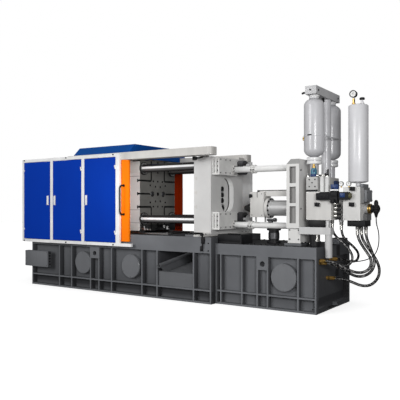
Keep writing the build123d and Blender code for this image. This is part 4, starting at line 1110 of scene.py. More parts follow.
@dataclass
class Guards:
    """Details of the guard frames and doors.

    Attributes:
        pulls: Pull centre and body of each guard door.
        pull_z: Lower and upper end of the pulls.
        face: The y of the pulls' outer faces.
        bolt_x: Frame bolts along the rails.
        bolt_z: Heights of the two rows.
        grip_x: The x of the safety door's grip.
        grip_y: Face of that door and centre line of the grip.
        grip_z: Heights of the grip's two legs.
    """

    pulls: tuple[tuple[float, str], ...] = (
        (-1967.7, "guard_door_1_body"), (-1809.7, "guard_door_2_body"),
        (-1110.3, "guard_door_3_body"))
    pull_z: tuple[float, float] = (1302, 1448)
    face: float = -776.0
    bolt_x: tuple[float, ...] = (-2545.0, -1556.0, -566.0)
    bolt_z: tuple[float, float] = (723.0, 2033.0)
    grip_x: float = -402.0
    grip_y: tuple[float, float] = (-723.5, -807.5)
    grip_z: tuple[float, float] = (1165.0, 1581.0)

    def build(self, repeater: Repeater) -> None:
        """Make pulls, frame bolts, the safety door's grip and the limit switch."""
        low, high = self.pull_z
        for index, (x, body) in enumerate(self.pulls, 1):
            pull = Form().box((x - 19, self.face - 9, low), (x + 19, self.face, high), 8)
            pull.piece(f"door_pull_{index}", "frame_enamel", body)
        dots = corners(self.bolt_x, -770, self.bolt_z, OUT_FRONT)
        dots += corners(self.bolt_x, 759, self.bolt_z, OUT_BACK)
        repeater.lay("guard_frame_bolts", Pattern.SCREW, dots, 11, "black_steel")
        grip = Form().bow(self.grip_x, self.grip_y, self.grip_z, 45, 11)
        for z in self.grip_z:
            grip.rod((self.grip_x, self.grip_y[0], z), Axis.Y, -8, 19, 1)
        grip.piece("front_door_grip", "black_plastic", FRONT_DOOR, ("front_door_handle",))
        switch = Form().box((690, -560, 1909), (742, -520, 1955), 4)
        switch.box((742, -552, 1925), (800, -530, 1941), 3)
        switch.piece("track_switch", "black_plastic")


@dataclass
class Clamp:
    """Details round the moving platen and the tie bars.

    Attributes:
        bars: Tie bar centres in y and z.
        face: The moving platen's die face.
        wiper_x: Front of the tie bar bushings.
        back: The x where the platen's side seams start.
        side: The y of the platen's front side.
        port: Distance of the two ports from the centre.
        axis_z: Height of the die axis.
        slots: Heights of the level slots.
        slot_half: Half height of a slot's end.
    """

    bars: tuple[tuple[float, float], ...] = ((-345, 1093), (345, 1093), (-345, 1845), (345, 1845))
    face: float = -350.0
    wiper_x: float = -328.0
    back: float = -648.0
    side: float = -429.0
    port: float = 134.0
    axis_z: float = 1469.0
    slots: tuple[float, ...] = (1272.0, 1469.0, 1666.0)
    slot_half: float = 24.0

    def build(self, repeater: Repeater) -> None:
        """Make the small pieces of the platens and those that ride over the bed."""
        self.wipers(repeater)
        self.slot_ends()
        self.port_plugs()
        self.side_seams()
        self.bed()

    def wipers(self, repeater: Repeater) -> None:
        """Wiper faces round the tie bars, with their screws."""
        screws, wipers = [], Form()
        for y, z in self.bars:
            screws += circle((self.wiper_x, y, z), Axis.X, 80, 6, OUT_RIGHT, 30)
            wipers.turned((self.wiper_x, y, z), Axis.X, [(62, -1), (62, 1.5), (84, 1.5), (86, -1)],
                          48)
        repeater.lay("wiper_screws", Pattern.SCREW, screws, 6, "black_steel", PLATEN)
        wipers.piece("wiper_faces", "ground_steel", PLATEN)

    def slot_ends(self) -> None:
        """Ends of the level slots: on the moving platen black blocks painted as the shade in the
        open slots, on the fixed one closed.
        """
        ends, closers = Form(), Form()
        spans = [(z - self.slot_half, z + self.slot_half) for z in self.slots]
        # Painted shade: black blocks in the moving platen's open slot ends.
        for low, high in spans:
            ends.box((self.face - 54, 404, low), (self.face - 1, 429, high))
        ends.piece("slot_ends", "black_rubber", PLATEN)
        for side in SIDES:
            for low, high in spans:
                closers.box((629.5, side * 429.5, low), (683, side * 396, high))
        closers.piece("fixed_slot_ends", "casting_white")

    def port_plugs(self) -> None:
        """Hollow plugs in the two ports."""
        plugs = Form()
        for side in SIDES:
            plugs.turned((self.face - 30, side * self.port, self.axis_z), Axis.X,
                         [(33, 0), (33, 26), (29, 30), (12, 30), (12, 14)], 32)
        plugs.piece("port_plugs", "dark_steel", PLATEN)

    def side_seams(self) -> None:
        """Pads, seams and the lubrication block on the platen's front side."""
        seams, lines = Form(), Form()
        end = self.face - 2
        for low, high in ((918, 1018), (1776, 1942)):
            seams.box((self.back, self.side - 8, low), (end, self.side, high), 2)
        seams.piece("platen_pads", "casting_white", PLATEN)
        for z in (1729, 1229, 1035):
            lines.box((self.back, self.side - 2, z - 3), (end, self.side, z + 3), 0.5)
        lines.piece("platen_seams", "cover_enamel", PLATEN)
        block = Form().box((-345, -420, 918), (-262, -352, 962), 4)
        block.box((-262, -410, 926), (-214, -366, 952), 4)
        block.rod((-214, -388, 939), Axis.X, 40, 12).rod((-300, -388, 960), Axis.Z, 28, 14)
        block.piece("wiper_block", "ground_steel", PLATEN)

    def bed(self) -> None:
        """Strip on the bed, and the bracket and fittings that ride over it."""
        Form().box((-186, -300, 875), (26, 300, 893), 3).piece("bed_strip", "black_steel")
        bracket = Form().box((-349, -60, 918), (-190, 60, 952), 6)
        bracket.box((-349, 70, 905), (-300, 380, 1000), 6)
        bracket.piece("bed_bracket", "black_steel", PLATEN)
        rail = Form().rod((-230, 0, 950), Axis.Z, 44, 24).rod((-190, 0, 935), Axis.X, 60, 17)
        rail.rod((-152, -20, 930), Axis.Z, 50, 22)
        rail.piece("bed_fittings", "ground_steel", PLATEN)


@dataclass
class DieEnd:
    """Details of the fixed platen and its retainer plates.

    Attributes:
        rods: Heights of the two rods.
        face: The retainer plates' outer face.
        plates: Lower and upper edge of each retainer plate.
    """

    rods: tuple[float, float] = (UPPER_ROD_Z, LOWER_ROD_Z)
    face: float = 1023.0
    plates: tuple[tuple[float, float], ...] = ((1710.0, 1948.0), (965.0, 1204.0))

    def build(self, repeater: Repeater) -> None:
        """Make the rod flanges, all bolts of the fixed platen's rear, the sleeve ring, and black
        plates and discs painted as the shade in pockets and holes.
        """
        flanges, bolts = Form(), []
        for z in self.rods:
            flanges.turned((self.face, 0, z), Axis.X,
                           [(44, 0), (44, 16), (64, 16), (68, 12), (68, 0)], 40)
            bolts += circle((self.face + 16, 0, z), Axis.X, 55, 8, OUT_RIGHT, 22.5)
        flanges.piece("rod_flanges", "casting_white")
        for low, high in self.plates:
            bolts += corners(self.face, (-372, -240, -120), (low + 30, high - 30), OUT_RIGHT)
        repeater.lay("retainer_bolts", Pattern.SCREW, bolts, 11, "ground_steel")
        inner = [((x, -378, z), OUT_FRONT) for low, high in self.plates for x in (948, 986)
                 for z in (low + 60, (low + high) / 2, high - 60)]
        repeater.lay("retainer_edge_screws", Pattern.SCREW, inner, 9, "black_steel")
        # Painted shade: black discs stand for the shaded insides of the three sleeve holes.
        sleeves = [((817.5, 0, z), OUT_RIGHT) for z in (1363, 1445, 1527)]
        repeater.lay("sleeve_hole_rims", Pattern.PLUG, sleeves, 38, "black_steel")
        ring = Form().turned((817, 0, SHOT_AXIS_Z), Axis.X,
                             [(36, 0), (36, 12), (52, 12), (55, 9), (55, 0)], 40)
        ring.turned((822, 0, 1486), Axis.X, [(17, 0), (17, 9), (12, 14), (0, 14)], 24)
        ring.piece("sleeve_ring", "ground_steel")
        # Painted shade: thin black plates stand for the shaded pockets round the far tie bar nuts.
        far = Form().box((907, 170, 1762), (925, 408, 1922), 4)
        far.box((907, 170, 990), (925, 408, 1180), 4)
        far.piece("far_nut_plates", "black_steel")


@dataclass
class ShotEnd:
    """Details of shot frame, cylinder, coupling and tray.

    Attributes:
        flange: The x of the cylinder flange's two faces.
        folds: Number of the gaiter's folds.
        collars: Height of each rod, with the x where its two collars start.
        frame_x: The x of the bolts in the shot frame's foot.
        jack_x: The x of the levelling jack.
    """

    flange: tuple[float, float] = (1555.0, 1600.0)
    folds: int = 9
    collars: tuple[tuple[float, tuple[float, float]], ...] = (
        (UPPER_ROD_Z, (1307.0, 1347.0)), (LOWER_ROD_Z, (1265.0, 1305.0)))
    frame_x: tuple[float, float] = (2040.0, 2160.0)
    jack_x: float = 1640.0

    def build(self, repeater: Repeater) -> None:
        """Make the small pieces from the cylinder to the jack."""
        self.cylinder(repeater)
        self.gaiter()
        self.coupling(repeater)
        self.rod_collars(repeater)
        self.frame_and_tray(repeater)
        self.jack(repeater)

    def cylinder(self, repeater: Repeater) -> None:
        """Bolts, collar and rim of the cylinder's flange."""
        left, right = self.flange
        heads = circle((right, 0, SHOT_AXIS_Z), Axis.X, 121, 12, OUT_RIGHT, 15)
        repeater.lay("cylinder_bolts", Pattern.SCREW, heads, 13, "black_steel")
        ring = Form().turned((right, 0, SHOT_AXIS_Z), Axis.X,
                             [(104, 0), (104, 34), (110, 34), (112, 28), (112, 0)], 56)
        ring.piece("cylinder_collar", "turned_steel")
        edge = Form().turned((left, 0, SHOT_AXIS_Z), Axis.X,
                             [(130, 2), (139, 2), (139, 43), (130, 43)], 64)
        edge.turned((left - 12, 0, SHOT_AXIS_Z), Axis.X, [(46, 0), (84, 0), (84, 12), (46, 12)],
                    48)
        edge.piece("cylinder_rim", "casting_white")

    def gaiter(self) -> None:
        """Folds of the gaiter, wider from one to the next."""
        folds = Form()
        for step in range(self.folds):
            radius = 31 + 42 * (step / (self.folds - 1))
            folds.turned((1204 + 15.2 * step, 0, SHOT_AXIS_Z), Axis.X,
                         [(radius - 5, -7), (radius + 3, 0), (radius - 5, 7)], 36)
        folds.piece("gaiter_folds", "black_rubber")

    def rod_collars(self, repeater: Repeater) -> None:
        """Rings and screws of the collars on the two rods."""
        rings, screws = Form(), []
        for z, starts in self.collars:
            for x in starts:
                rings.turned((x, 0, z), Axis.X, [(58, 0), (59.5, 1), (59.5, 12), (58, 13)], 40)
                screws.append(((x + 11, -58, z - 12), OUT_FRONT))
        rings.piece("collar_rings", "casting_white")
        repeater.lay("collar_screws", Pattern.SCREW, screws, 9, "black_steel")

    def frame_and_tray(self, repeater: Repeater) -> None:
        """Bolts of the shot frame, and the tray's lid and rod."""
        bolts = corners(2184, -352, (1730, 1250), OUT_RIGHT)
        bolts += [((x, -360, z), OUT_FRONT) for z in (985, 870) for x in self.frame_x]
        repeater.lay("shot_frame_bolts", Pattern.SCREW, bolts, 9, "dark_steel")
        tray = Form().box((1082, -514, 908), (1426, -206, 912), 2)
        tray.box((1090, -524, 820), (1420, -520, 890), 1).rod((1230, -515, 920), Axis.X, 190, 9)
        tray.piece("tray_lid", "black_plastic")

    def coupling(self, repeater: Repeater) -> None:
        """Cover, knob, legs, the edge of the guide beam and the valve below."""
        cover = Form().box((1338, -104, 1140), (1534, -100, 1470), 2)
        cover.piece("coupling_cover", "casting_white")
        knob = Form().turned((1349, -104, 1422), Axis.Y,
                             [(20, 0), (20, -26), (14, -34), (0, -34)], 24)
        knob.box((1318, -116, 1396), (1352, -96, 1446), 5)
        knob.piece("coupling_knob", "black_plastic")
        legs = Form().rod((1399, -60, 1064), Axis.Z, 69, 12).rod((1480, 60, 1064), Axis.Z, 69, 12)
        legs.piece("coupling_legs", "ground_steel")
        edge = Form().box((1443, -62, 1489), (2014, -50, 1499), 2)
        edge.box((1443, -104, 1476), (1455, -50, 1499), 2)
        edge.box((1438, -107, 1400), (1446, -103, 1478), 1)
        edge.piece("guide_edge", "black_rubber")
        valve = Form().rod((1600, -20, 1065), Axis.Z, 40, 34)
        valve.rod((1560, -40, 1098), Axis.X, 110, 17).rod((1655, -40, 1098), Axis.X, 40, 26)
        valve.piece("rod_valve", "dark_steel")
        screws = corners((1362, 1510), -104, (1162, 1448), OUT_FRONT)
        repeater.lay("coupling_screws", Pattern.SCREW, screws, 6, "dark_steel")

    def jack(self, repeater: Repeater) -> None:
        """Sleeve and bolts of the jack."""
        sleeve = Form().turned((self.jack_x, 0, 0), Axis.Z,
                               [(71, 842), (75, 846), (75, 926), (71, 930)], 48)
        sleeve.piece("jack_sleeve", "dark_steel")
        heads = circle((self.jack_x, 0, 814), Axis.Z, 83, 8, UP, 22.5)
        repeater.lay("jack_bolts", Pattern.HEX_BOLT, heads, 11, "black_steel")


@dataclass
class Hydraulics:
    """Valves, gauges and fittings on the blocks beyond the shot frame.

    Attributes:
        gauges: Centres of the two small gauges in x and z.
        top_gauge: Face of the large gauge on the gas bottle.
        pilot_z: Heights of the four pilot lines between the blocks.
        hose_ends: Where the hoses leave the blocks.
        base_ends: The y, z and radius of the fittings at the base's end.
        plug_axis: The y and z of the plug at the end block.
    """

    gauges: tuple[tuple[float, float], ...] = ((2728, 1545), (2819, 1543))
    top_gauge: Point = (2820, -268, 2615)
    pilot_z: tuple[float, ...] = (1163, 1213, 1262, 1312)
    hose_ends: tuple[Point, ...] = ((2885, -310, 1008), (2944, -180, 1008), (2900, -214, 1008),
                                    (2668, -250, 1059), (2560, -270, 1081))
    base_ends: tuple[Point, ...] = ((-410, 625, 20), (-356, 596, 20), (-94, 386, 20),
                                    (0, 617, 18), (-300, 612, 18))
    plug_axis: tuple[float, float] = (-230.0, 1251.0)

    def build(self, repeater: Repeater) -> None:
        """Make everything on the blocks."""
        self.top_valve(repeater)
        self.valve_row()
        self.gauge_set()
        self.caps(repeater)
        self.fittings(repeater)
        self.side_valve(repeater)
        self.head()

    def top_valve(self, repeater: Repeater) -> None:
        """Blue valve with its brass top, the cartridges and black discs painted as the shade in the
        five holes of the valve block.
        """
        pale = Form().turned((2366, -370, 1672), Axis.Z,
                             [(34, 0), (38, 4), (38, 52), (30, 62), (30, 72)], 32)
        pale.piece("valve_coil", "solenoid_pale")
        blue = Form().box((2330, -398, 1640), (2404, -340, 1674), 5)
        blue.box((2372, -412, 1696), (2390, -402, 1722), 1)
        blue.box((2366, 205, 1525), (2428, 335, 1612), 8)
        blue.piece("blue_valves", "solenoid_blue")
        brass = Form().rod((2366, -370, 1744), Axis.Z, 26, 22)
        brass.rod((2366, -370, 1768), Axis.Z, 28, 15)
        brass.rod((2196, -285, 2100), Axis.Z, 48, 12).rod((2184, -285, 2124), Axis.X, 30, 14, 2, 6)
        brass.piece("valve_tops", "brass")
        steel = Form().turned((2296, -384, 1639), Axis.Z, [(15, 0), (15, 12), (5, 46), (0, 46)], 20)
        steel.rod((2395, -380, 1654), Axis.X, 42, 12).rod((2470, -372, 1654), Axis.X, 36, 12)
        for x, y in ((2461, -345), (2461, -255), (2527, -345)):
            steel.turned((x, y, 1639), Axis.Z, [(24, 0), (24, 8), (18, 12), (0, 12)], 32)
        steel.piece("cartridge_sleeves", "bright_steel")
        black = Form().box((2278, -402, 1458), (2426, -398, 1482), 1)
        black.box((2430, -392, 1646), (2466, -366, 1664), 4)
        black.box((2512, -392, 1648), (2548, -366, 1668), 4).rod((2500, -330, 1651), Axis.Z, 30, 11)
        black.piece("valve_clips", "black_plastic")
        # Painted shade: black discs stand for the shaded insides of the valve block's five holes.
        holes = corners((2318, 2392), BLOCK_FACE_Y, (1520, 1606), OUT_FRONT)
        holes.append(((2355, BLOCK_FACE_Y, 1568), OUT_FRONT))
        repeater.lay("valve_block_holes", Pattern.PLUG, holes, 9, "black_steel")

    def valve_row(self) -> None:
        """Coils, plugs and the white plate in front of the valve row."""
        black = Form().box((2436, -478, 1366), (2596, -470, 1432), 5)
        black.rod((2652, -470, 1345), Axis.Y, -16, 24)
        black.rod((2652, -486, 1345), Axis.Y, -8, 17).rod((2640, -438, 1462), Axis.Z, 30, 20)
        black.box((2612, -476, 1392), (2694, -470, 1450), 4)
        black.box((2476, -458, 1440), (2580, -404, 1452), 3)
        for x in (2458, 2498, 2538, 2578):
            black.rod((x, -478, 1399), Axis.Y, -7, 11, 1, 20)
        black.piece("valve_coils", "black_plastic")
        blue = Form().box((2610, -452, 1482), (2700, -404, 1540), 5)
        blue.box((2728, -476, 1384), (2790, -470, 1436), 4)
        blue.piece("row_valves", "solenoid_blue")
        plate = Form().box((2604, -462, 1464), (2706, -456, 1480), 1)
        plate.piece("valve_plate", "frame_enamel")
        olive = Form().rod((2829, -436, 1402), Axis.X, 26, 34, 3, 32)
        olive.piece("valve_end", "olive_cap")

    def gauge_set(self) -> None:
        """Cases, dials, hands and stems of the gauges."""
        cases, dials, stems, hands = Form(), Form(), Form(), Form()
        for x, z in self.gauges:
            cases.turned((x, BLOCK_FACE_Y - 6, z), Axis.Y,
                         [(24, 0), (29, -5), (29, -24), (26, -28), (26, -22), (0, -22)], 32)
            dials.turned((x, BLOCK_FACE_Y - 28, z), Axis.Y, [(25, 0), (25, -1.5), (0, -1.5)], 32)
            hands.box((x - 1.5, BLOCK_FACE_Y - 31, z - 6), (x + 1.5, BLOCK_FACE_Y - 29.5, z + 17))
            stems.rod((x, BLOCK_FACE_Y - 14, 1500), Axis.Z, 22, 9)
        x, y, z = self.top_gauge
        cases.turned((x, y, z), Axis.Y,
                     [(40, 0), (44, -6), (44, -14), (37, -18), (37, -8), (0, -8)], 40)
        dials.turned((x, y - 9, z), Axis.Y, [(34, 0), (34, -1), (0, -1)], 40)
        hands.box((x - 2, y - 12, z - 10), (x + 2, y - 10.5, z + 24))
        stems.rod((x, GAS_Y, 2508), Axis.Z, 56, 16, 2, 6).rod((x, GAS_Y, 2490), Axis.Z, 20, 20)
        cases.piece("gauge_cases", "black_steel")
        dials.piece("gauge_dials", "dial_white")
        stems.piece("gauge_stems", "brass")
        hands.piece("gauge_hands", "black_plastic")

    def caps(self, repeater: Repeater) -> None:
        """Black connector caps and the few screws of the block faces."""
        caps = Form()
        for left, low in ((2396, 1280), (2822, 1280), (2829, 1462)):
            caps.box((left, -432, low), (left + 26, -400, low + 48), 5)
            caps.box((left + 30, -440, low - 4), (left + 60, -400, low + 46), 6)
        caps.piece("block_caps", "black_plastic")
        screws = corners((2290, 2585), BLOCK_FACE_Y, (1128, 1446), OUT_FRONT)
        screws += corners((2756, 2930), BLOCK_FACE_Y, (1130, 1492), OUT_FRONT)
        screws += [((2947, -70, z), OUT_RIGHT) for z in (1140, 1300, 1480)]
        repeater.lay("block_screws", Pattern.PLUG, screws, 7, "ground_steel")

    def fittings(self, repeater: Repeater) -> None:
        """Fittings between the blocks, below the arm and along the hose ends."""
        steel = Form()
        for z in self.pilot_z:
            steel.rod((2640, -330, z), Axis.X, 60, 15, 2, 6).rod((2600, -330, z), Axis.X, 46, 20)
        steel.rod((2330, -350, 828), Axis.Z, 110, 24).rod((2395, -352, 846), Axis.Z, 92, 30)
        steel.rod((2330, -350, 812), Axis.Z, 30, 34, 3, 6)
        steel.rod((2395, -352, 850), Axis.Z, 26, 40, 3, 6)
        steel.piece("block_fittings", "bright_steel")
        black = Form().box((2300, -392, 1027), (2512, -310, 1113), 4)
        black.rod((2360, -330, 792), Axis.Z, 146, 66)
        for z in self.pilot_z:
            black.rod((2648, -330, z - 25), Axis.X, 40, 17)
        black.piece("pilot_blocks", "black_steel")
        nuts = [(place_mm, DOWN) for place_mm in self.hose_ends]
        repeater.lay("hose_nuts", Pattern.HEX_BOLT, nuts, 26, "bright_steel")
        ferrules, ends = Form(), Form()
        for x, y, z in self.hose_ends:
            ferrules.rod((x, y, z - 64), Axis.Z, 52, 20)
        ferrules.piece("hose_ferrules", "bright_steel")
        for y, z, size in self.base_ends:
            ends.rod((2490, y, z), Axis.X, 46, size).rod((2446, y, z), Axis.X, 22, size + 8, 3, 6)
        ends.piece("base_hose_ferrules", "brass")

    def side_valve(self, repeater: Repeater) -> None:
        """Grey stepped valve, brass rings and the handle shape of the plug at the end."""
        grey = Form().box((2990, -392, 1332), (3022, -190, 1470), 4)
        grey.box((2947, -398, 1497), (2982, -200, 1540), 4)
        grey.piece("side_valve", "cover_enamel")
        screws = corners(3022, (-372, -210), (1352, 1450), OUT_RIGHT)
        repeater.lay("side_valve_screws", Pattern.SCREW, screws, 8, "ground_steel")
        y, z = self.plug_axis
        rings = Form()
        for x in (2992, 3012):
            rings.turned((x, y, z), Axis.X, [(40, 0), (58, 2), (61, 8), (58, 14), (40, 16)], 40)
        rings.piece("plug_rings", "brass")
        plug = Form().box((2778, -360, 1043), (2990, -140, 1115), 5)
        plug.turned((3080, y, 0), Axis.Z,
                    [(12, 1150), (15, 1165), (24, 1195), (33, 1212), (38, 1240), (36, 1278),
                     (24, 1296), (26, 1318), (20, 1342), (10, 1354)], 28)
        plug.rod((3028, y, z), Axis.X, 26, 46, 4).rod((3050, y, z), Axis.X, 70, 34, 6)
        lobes, reach = 8, 38
        for lobe in range(lobes):
            turn = lobe * math.pi / (lobes / 2)
            plug.rod((3060, y + math.cos(turn) * reach, z + math.sin(turn) * reach), Axis.X,
                     52, 11, 4, 12)
        plug.piece("port_plug", "black_plastic", stands_for=("connector_blocks",))

    def head(self) -> None:
        """Fittings of the accumulator head, the strap and the collars of the bottles."""
        collars, strap = Form(), Form()
        for y in (-BOTTLE_Y, BOTTLE_Y):
            for low, radius in ((2613, 60), (2632, 66)):
                collars.turned((BOTTLE_X, y, low), Axis.Z,
                               [(radius - 3, 0), (radius, 3), (radius, 12), (radius - 3, 15)], 48)
            for low in (1800, 1846):
                collars.turned((BOTTLE_X, y, low), Axis.Z,
                               [(84, 0), (90, 5), (90, 31), (84, 36)], 56)
            strap.turned((BOTTLE_X, y, 2138), Axis.Z,
                         [(124, 0), (127, 2), (127, 22), (124, 24)], 72)
        collars.piece("bottle_collars", "frame_enamel")
        strap.box((2449, -230, 2140), (2456, 230, 2160), 2)
        strap.piece("bottle_strap", "bottle_enamel")
        black = Form().box((2300, -414, 2143), (2352, -408, 2158), 2)
        black.rod((2332, -400, 2700), Axis.Y, -8, 10, 1, 20)
        black.box((2228, -396, 2662), (2263, -376, 2684), 4).rod((2216, -386, 2668), Axis.X, 20, 12)
        black.rod((2408, -215, 2610), Axis.X, 24, 15).rod((2420, -200, 2570), Axis.Z, 44, 13)
        black.rod((2408, 330, 2700), Axis.X, 8, 12).rod((2408, -330, 2700), Axis.X, 8, 12)
        black.piece("head_fittings", "black_plastic")
        Form().rod((2410, -20, 1660), Axis.Z, 90, 9).piece("manifold_studs", "black_rubber")


@dataclass
class Bottles:
    """Smooth bodies of the two accumulators and the gas bottle.

    Attributes:
        radius: Radius of the accumulators.
        z: Their lower and upper end.
        dome: Height of a domed end.
        gas_radius: Radius of the gas bottle.
        gas_z: Its lower and upper end.
        gauge_x: The x of the pipe to its gauge.
        valve_x: The x of its valve.
    """

    radius: float = 125.0
    z: tuple[float, float] = (1885.0, 2613.0)
    dome: float = 90.0
    gas_radius: float = 115.5
    gas_z: tuple[float, float] = (1553.0, 2490.0)
    gauge_x: float = 2820.0
    valve_x: float = 2921.0

    @staticmethod
    def profile(radius: float, z: tuple[float, float], dome: float) -> list[tuple[float, float]]:
        """Outline of a bottle with round ends, from the bottom up."""
        turns = [math.pi / 2 * step / 10 for step in range(11)]
        low = [(radius * math.sin(turn), z[0] + dome * (1 - math.cos(turn))) for turn in turns]
        high = [(radius * math.cos(turn), z[1] - dome + dome * math.sin(turn)) for turn in turns]
        return low + high

    def build(self) -> None:
        """Make the bottles in place of the plain ones."""
        form, top = Form(), self.z[1]
        for y in (-BOTTLE_Y, BOTTLE_Y):
            form.turned((BOTTLE_X, y, 0), Axis.Z,
                        self.profile(self.radius - 0.5, self.z, self.dome), 64)
            form.turned((BOTTLE_X, y, 0), Axis.Z, [(50, top - 12), (50, top + 37)], 40)
            form.turned((BOTTLE_X, y, 0), Axis.Z, [(82, 1798), (86, 1802), (86, 1881), (82, 1885)],
                        48)
            form.turned((BOTTLE_X, y, 0), Axis.Z, [(60, top - 4), (58, top + 14)], 40)
        form.piece("accumulator_shells", "bottle_enamel", stands_for=("accumulators",))
        outline = self.profile(self.gas_radius, self.gas_z, 24)
        gas = Form().turned((GAS_X, GAS_Y, 0), Axis.Z, outline, 64)
        gas.rod((GAS_X, GAS_Y, 1507), Axis.Z, 60, 30)
        gas.rod((self.gauge_x, GAS_Y, 2470), Axis.Z, 110, 11)
        gas.rod((self.valve_x, GAS_Y, 2470), Axis.Z, 70, 11)
        gas.turned((self.valve_x, GAS_Y, 2488), Axis.Z, [(26, 0), (26, 12), (16, 16), (16, 30)], 32)
        gas.piece("gas_bottle", "gas_enamel", stands_for=("nitrogen_bottle",))
        knob = Form().turned((self.valve_x, GAS_Y, 2535), Axis.Z,
                             [(14, 0), (31, 6), (31, 24), (22, 30), (0, 30)], 32)
        knob.turned((self.gauge_x, GAS_Y, 2615), Axis.Y,
                    [(36, -18), (42, -14), (42, 14), (36, 18)], 40)
        knob.piece("gas_bottle_knob", "black_plastic")


@dataclass
class Cords:
    """The hoses and the sensor cable, as routes in millimetres.

    Attributes:
        routes: Diameter and points of each, by name.
        thin: Diameter under which a cord is a cable, with the cable finish, and not a hose.
    """

    routes: dict[str, tuple[float, list[Point]]] = field(default_factory=lambda: {
        "hose_outer": (34, [
            (2885, -310, 1009), (2885, -310, 930), (2925, -318, 850), (2990, -328, 762),
            (3060, -340, 668), (3052, -356, 566), (2975, -368, 512), (2885, -378, 508),
            (2800, -388, 536), (2705, -400, 590), (2600, -410, 625), (2516, -410, 625)]),
        "hose_inner_near": (34, [
            (2944, -180, 1009), (2944, -180, 925), (2985, -208, 840), (3035, -234, 742),
            (3074, -254, 635), (3050, -276, 530), (2975, -296, 466), (2880, -312, 452),
            (2790, -328, 488), (2700, -342, 545), (2600, -356, 596), (2516, -356, 596)]),
        "hose_inner_far": (34, [
            (2900, -214, 1009), (2900, -214, 922), (2938, -200, 838), (2998, -188, 752),
            (3068, -176, 652), (3104, -166, 540), (3082, -156, 430), (2992, -144, 338),
            (2880, -134, 322), (2770, -114, 352), (2650, -94, 386), (2516, -94, 386)]),
        "hose_short_far": (30, [
            (2668, -250, 1059), (2668, -250, 950), (2712, -212, 868), (2785, -166, 800),
            (2842, -124, 712), (2810, -84, 622), (2725, -40, 596), (2620, 0, 617), (2516, 0, 617)]),
        "hose_short_near": (30, [
            (2560, -270, 1081), (2560, -270, 980), (2622, -278, 905), (2700, -288, 850),
            (2786, -300, 770), (2834, -306, 670), (2788, -310, 580), (2700, -306, 572),
            (2600, -300, 612), (2516, -300, 612)]),
        "sensor_cable": (12, [
            (3080, -230, 1150), (3080, -230, 1080), (3108, -238, 1000), (3120, -250, 910),
            (3118, -270, 815), (3090, -292, 725), (3020, -300, 668), (2935, -284, 640),
            (2840, -262, 622), (2740, -246, 604), (2640, -236, 590), (2540, -226, 580),
            (2420, -226, 580)]),
    })
    thin: float = 20.0

    def build(self) -> None:
        """Lay every cord as one smooth curve."""
        for name, (diameter, route) in self.routes.items():
            curve = bpy.data.curves.new(name + "_line", "CURVE")
            curve.dimensions = "3D"
            spline = curve.splines.new("NURBS")
            spline.points.add(len(route) - 1)
            for point, place_mm in zip(spline.points, route):
                point.co = (*[part * MM for part in place_mm], 1)
            spline.order_u = 3
            spline.use_endpoint_u = True
            spline.resolution_u = 12
            curve.bevel_depth = diameter * MM / 2
            curve.bevel_resolution = 5
            curve.use_fill_caps = True
            limp = diameter < self.thin
            curve.materials.append(material("cable_rubber" if limp else "hose_rubber"))
            cord = linked(name + "_line", curve)
            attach(cord, ROOT)
            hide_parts(name)
            self.length(curve)
            log.info("%s laid", name)

    @staticmethod
    def length(curve: bpy.types.Curve) -> float:
        """Length of a curve's smooth line, in metres."""
        bare = curve.copy()
        bare.bevel_depth = 0
        bare.use_fill_caps = False
        holder = linked("measure", bare)
        data = evaluated(holder)
        points = [vertex.co.copy() for vertex in data.vertices]
        total = sum((after - before).length for before, after in zip(points, points[1:]))
        bpy.data.objects.remove(holder)
        bpy.data.meshes.remove(data)
        bpy.data.curves.remove(bare)
        return total


# Studio


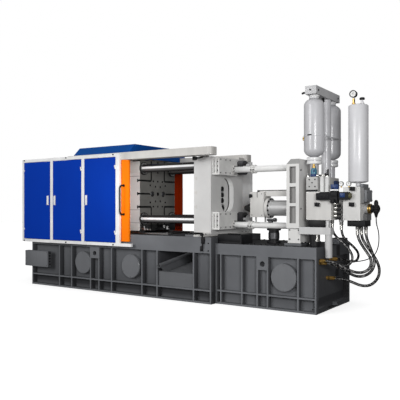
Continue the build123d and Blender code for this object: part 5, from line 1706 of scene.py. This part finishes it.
@dataclass
class Studio:
    """Pale floor, soft lights and the camera.

    Attributes:
        camera: Camera place in metres.
        azimuth: Turn of the camera about the vertical, in degrees.
        lens: Focal length in millimetres.
        shift: Vertical shift.
        floor_size: Side length of the floor in metres.
        fade: Distances from the middle between which the floor turns white.
        world_share: Strength of the world to the machine and to the camera.
    """

    camera: Point = (5.05356, -6.7934, 1.2781)
    azimuth: float = 34.2
    lens: float = 50.4
    shift: float = 0.01625
    floor_size: float = 60.0
    fade: tuple[float, float] = (2.2, 7.0)
    world_share: tuple[float, float] = (0.2, 1.0)

    def build(self) -> None:
        """Make floor, world, lights and camera."""
        self.floor()
        self.world()
        self.lamp("key", (-1.5, -9.0, 3.6), (-0.3, 0, 1.1), 4.0, 420)
        self.lamp("right", (6.6, -6.6, 2.4), (0.3, 0, 1.3), 2.2, 330)
        self.lamp("top", (0.5, 0.5, 7.5), (0.5, 0, 1.2), 4.0, 120)
        self.lamp("die_space", (1.5, -2.1, 1.6), (-0.5, -0.3, 1.4), 0.5, 2.4, 42)
        self.aim()

    def floor(self) -> None:
        """White floor that keeps the machine's shadow."""
        data = bpy.data.meshes.new("floor")
        half = self.floor_size / 2
        outline = [(-half, -half, 0), (half, -half, 0), (half, half, 0), (-half, half, 0)]
        data.from_pydata(outline, [], [(0, 1, 2, 3)])
        graph = Graph("floor_white")
        across, along = graph.along(Axis.X), graph.along(Axis.Y)
        away = graph.ramp((across * across + along * along).maths("SQRT"), *self.fade)
        seen = graph.node("ShaderNodeLightPath", output="Is Camera Ray")
        graph.dress(Base_Color=graph.mix(seen, (0.16, 0.16, 0.16), (0.6, 0.6, 0.6)),
                    Roughness=0.8, Specular_IOR_Level=0.1,
                    Emission_Color=graph.mix(away, (0.72, 0.72, 0.72), (1.0, 1.0, 1.0)),
                    Emission_Strength=seen)
        data.materials.append(graph.material)
        linked("floor", data)

    def world(self) -> None:
        """White world, brighter to the camera than to the machine."""
        world = bpy.data.worlds.new("studio")
        world.use_nodes = True
        tree = world.node_tree
        tree.nodes.clear()
        output = tree.nodes.new("ShaderNodeOutputWorld")
        back = tree.nodes.new("ShaderNodeBackground")
        rays = tree.nodes.new("ShaderNodeLightPath")
        pick = tree.nodes.new("ShaderNodeMapRange")
        pick.inputs["To Min"].default_value, pick.inputs["To Max"].default_value = self.world_share
        back.inputs["Color"].default_value = (1, 1, 1, 1)
        tree.links.new(rays.outputs["Is Camera Ray"], pick.inputs["Value"])
        tree.links.new(pick.outputs["Result"], back.inputs["Strength"])
        tree.links.new(back.outputs[0], output.inputs[0])
        bpy.context.scene.world = world

    def lamp(self, name: str, spot: Point, target: Point, size: float, power: float,
             spread: float = 180.0) -> None:
        """Square soft lamp.

        Args:
            name: Lamp name.
            spot: Its place.
            target: What it looks at.
            size: Side length.
            power: Watts.
            spread: Opening angle of its beam, in degrees.
        """
        light = bpy.data.lights.new(name, "AREA")
        light.size = size
        light.spread = math.radians(spread)
        light.energy = power
        lamp = linked(name, light)
        lamp.location = spot
        lamp.rotation_euler = (Vector(target) - Vector(spot)).to_track_quat("-Z", "Y").to_euler()

    def aim(self) -> None:
        """Camera at the photograph's viewing angle."""
        scene = bpy.context.scene
        data = bpy.data.cameras.new("camera")
        data.lens = self.lens
        data.sensor_width = 36
        data.shift_y = self.shift
        data.clip_end = 200
        camera = linked("camera", data)
        camera.location = self.camera
        camera.rotation_euler = (math.radians(90), 0, math.radians(self.azimuth))
        scene.camera = camera
        scene.view_settings.view_transform = "Standard"


def main() -> None:
    """Build the machine's looks in order, then the studio."""
    logging.basicConfig(level=logging.INFO)
    dress_frame()
    repeater = Repeater()
    for assembly in (Base(), Guards(), Clamp(), DieEnd(), ShotEnd(), Hydraulics()):
        assembly.build(repeater)
    Bottles().build()
    repeater.close()
    Cords().build()
    Studio().build()


if __name__ == "__main__":
    main()
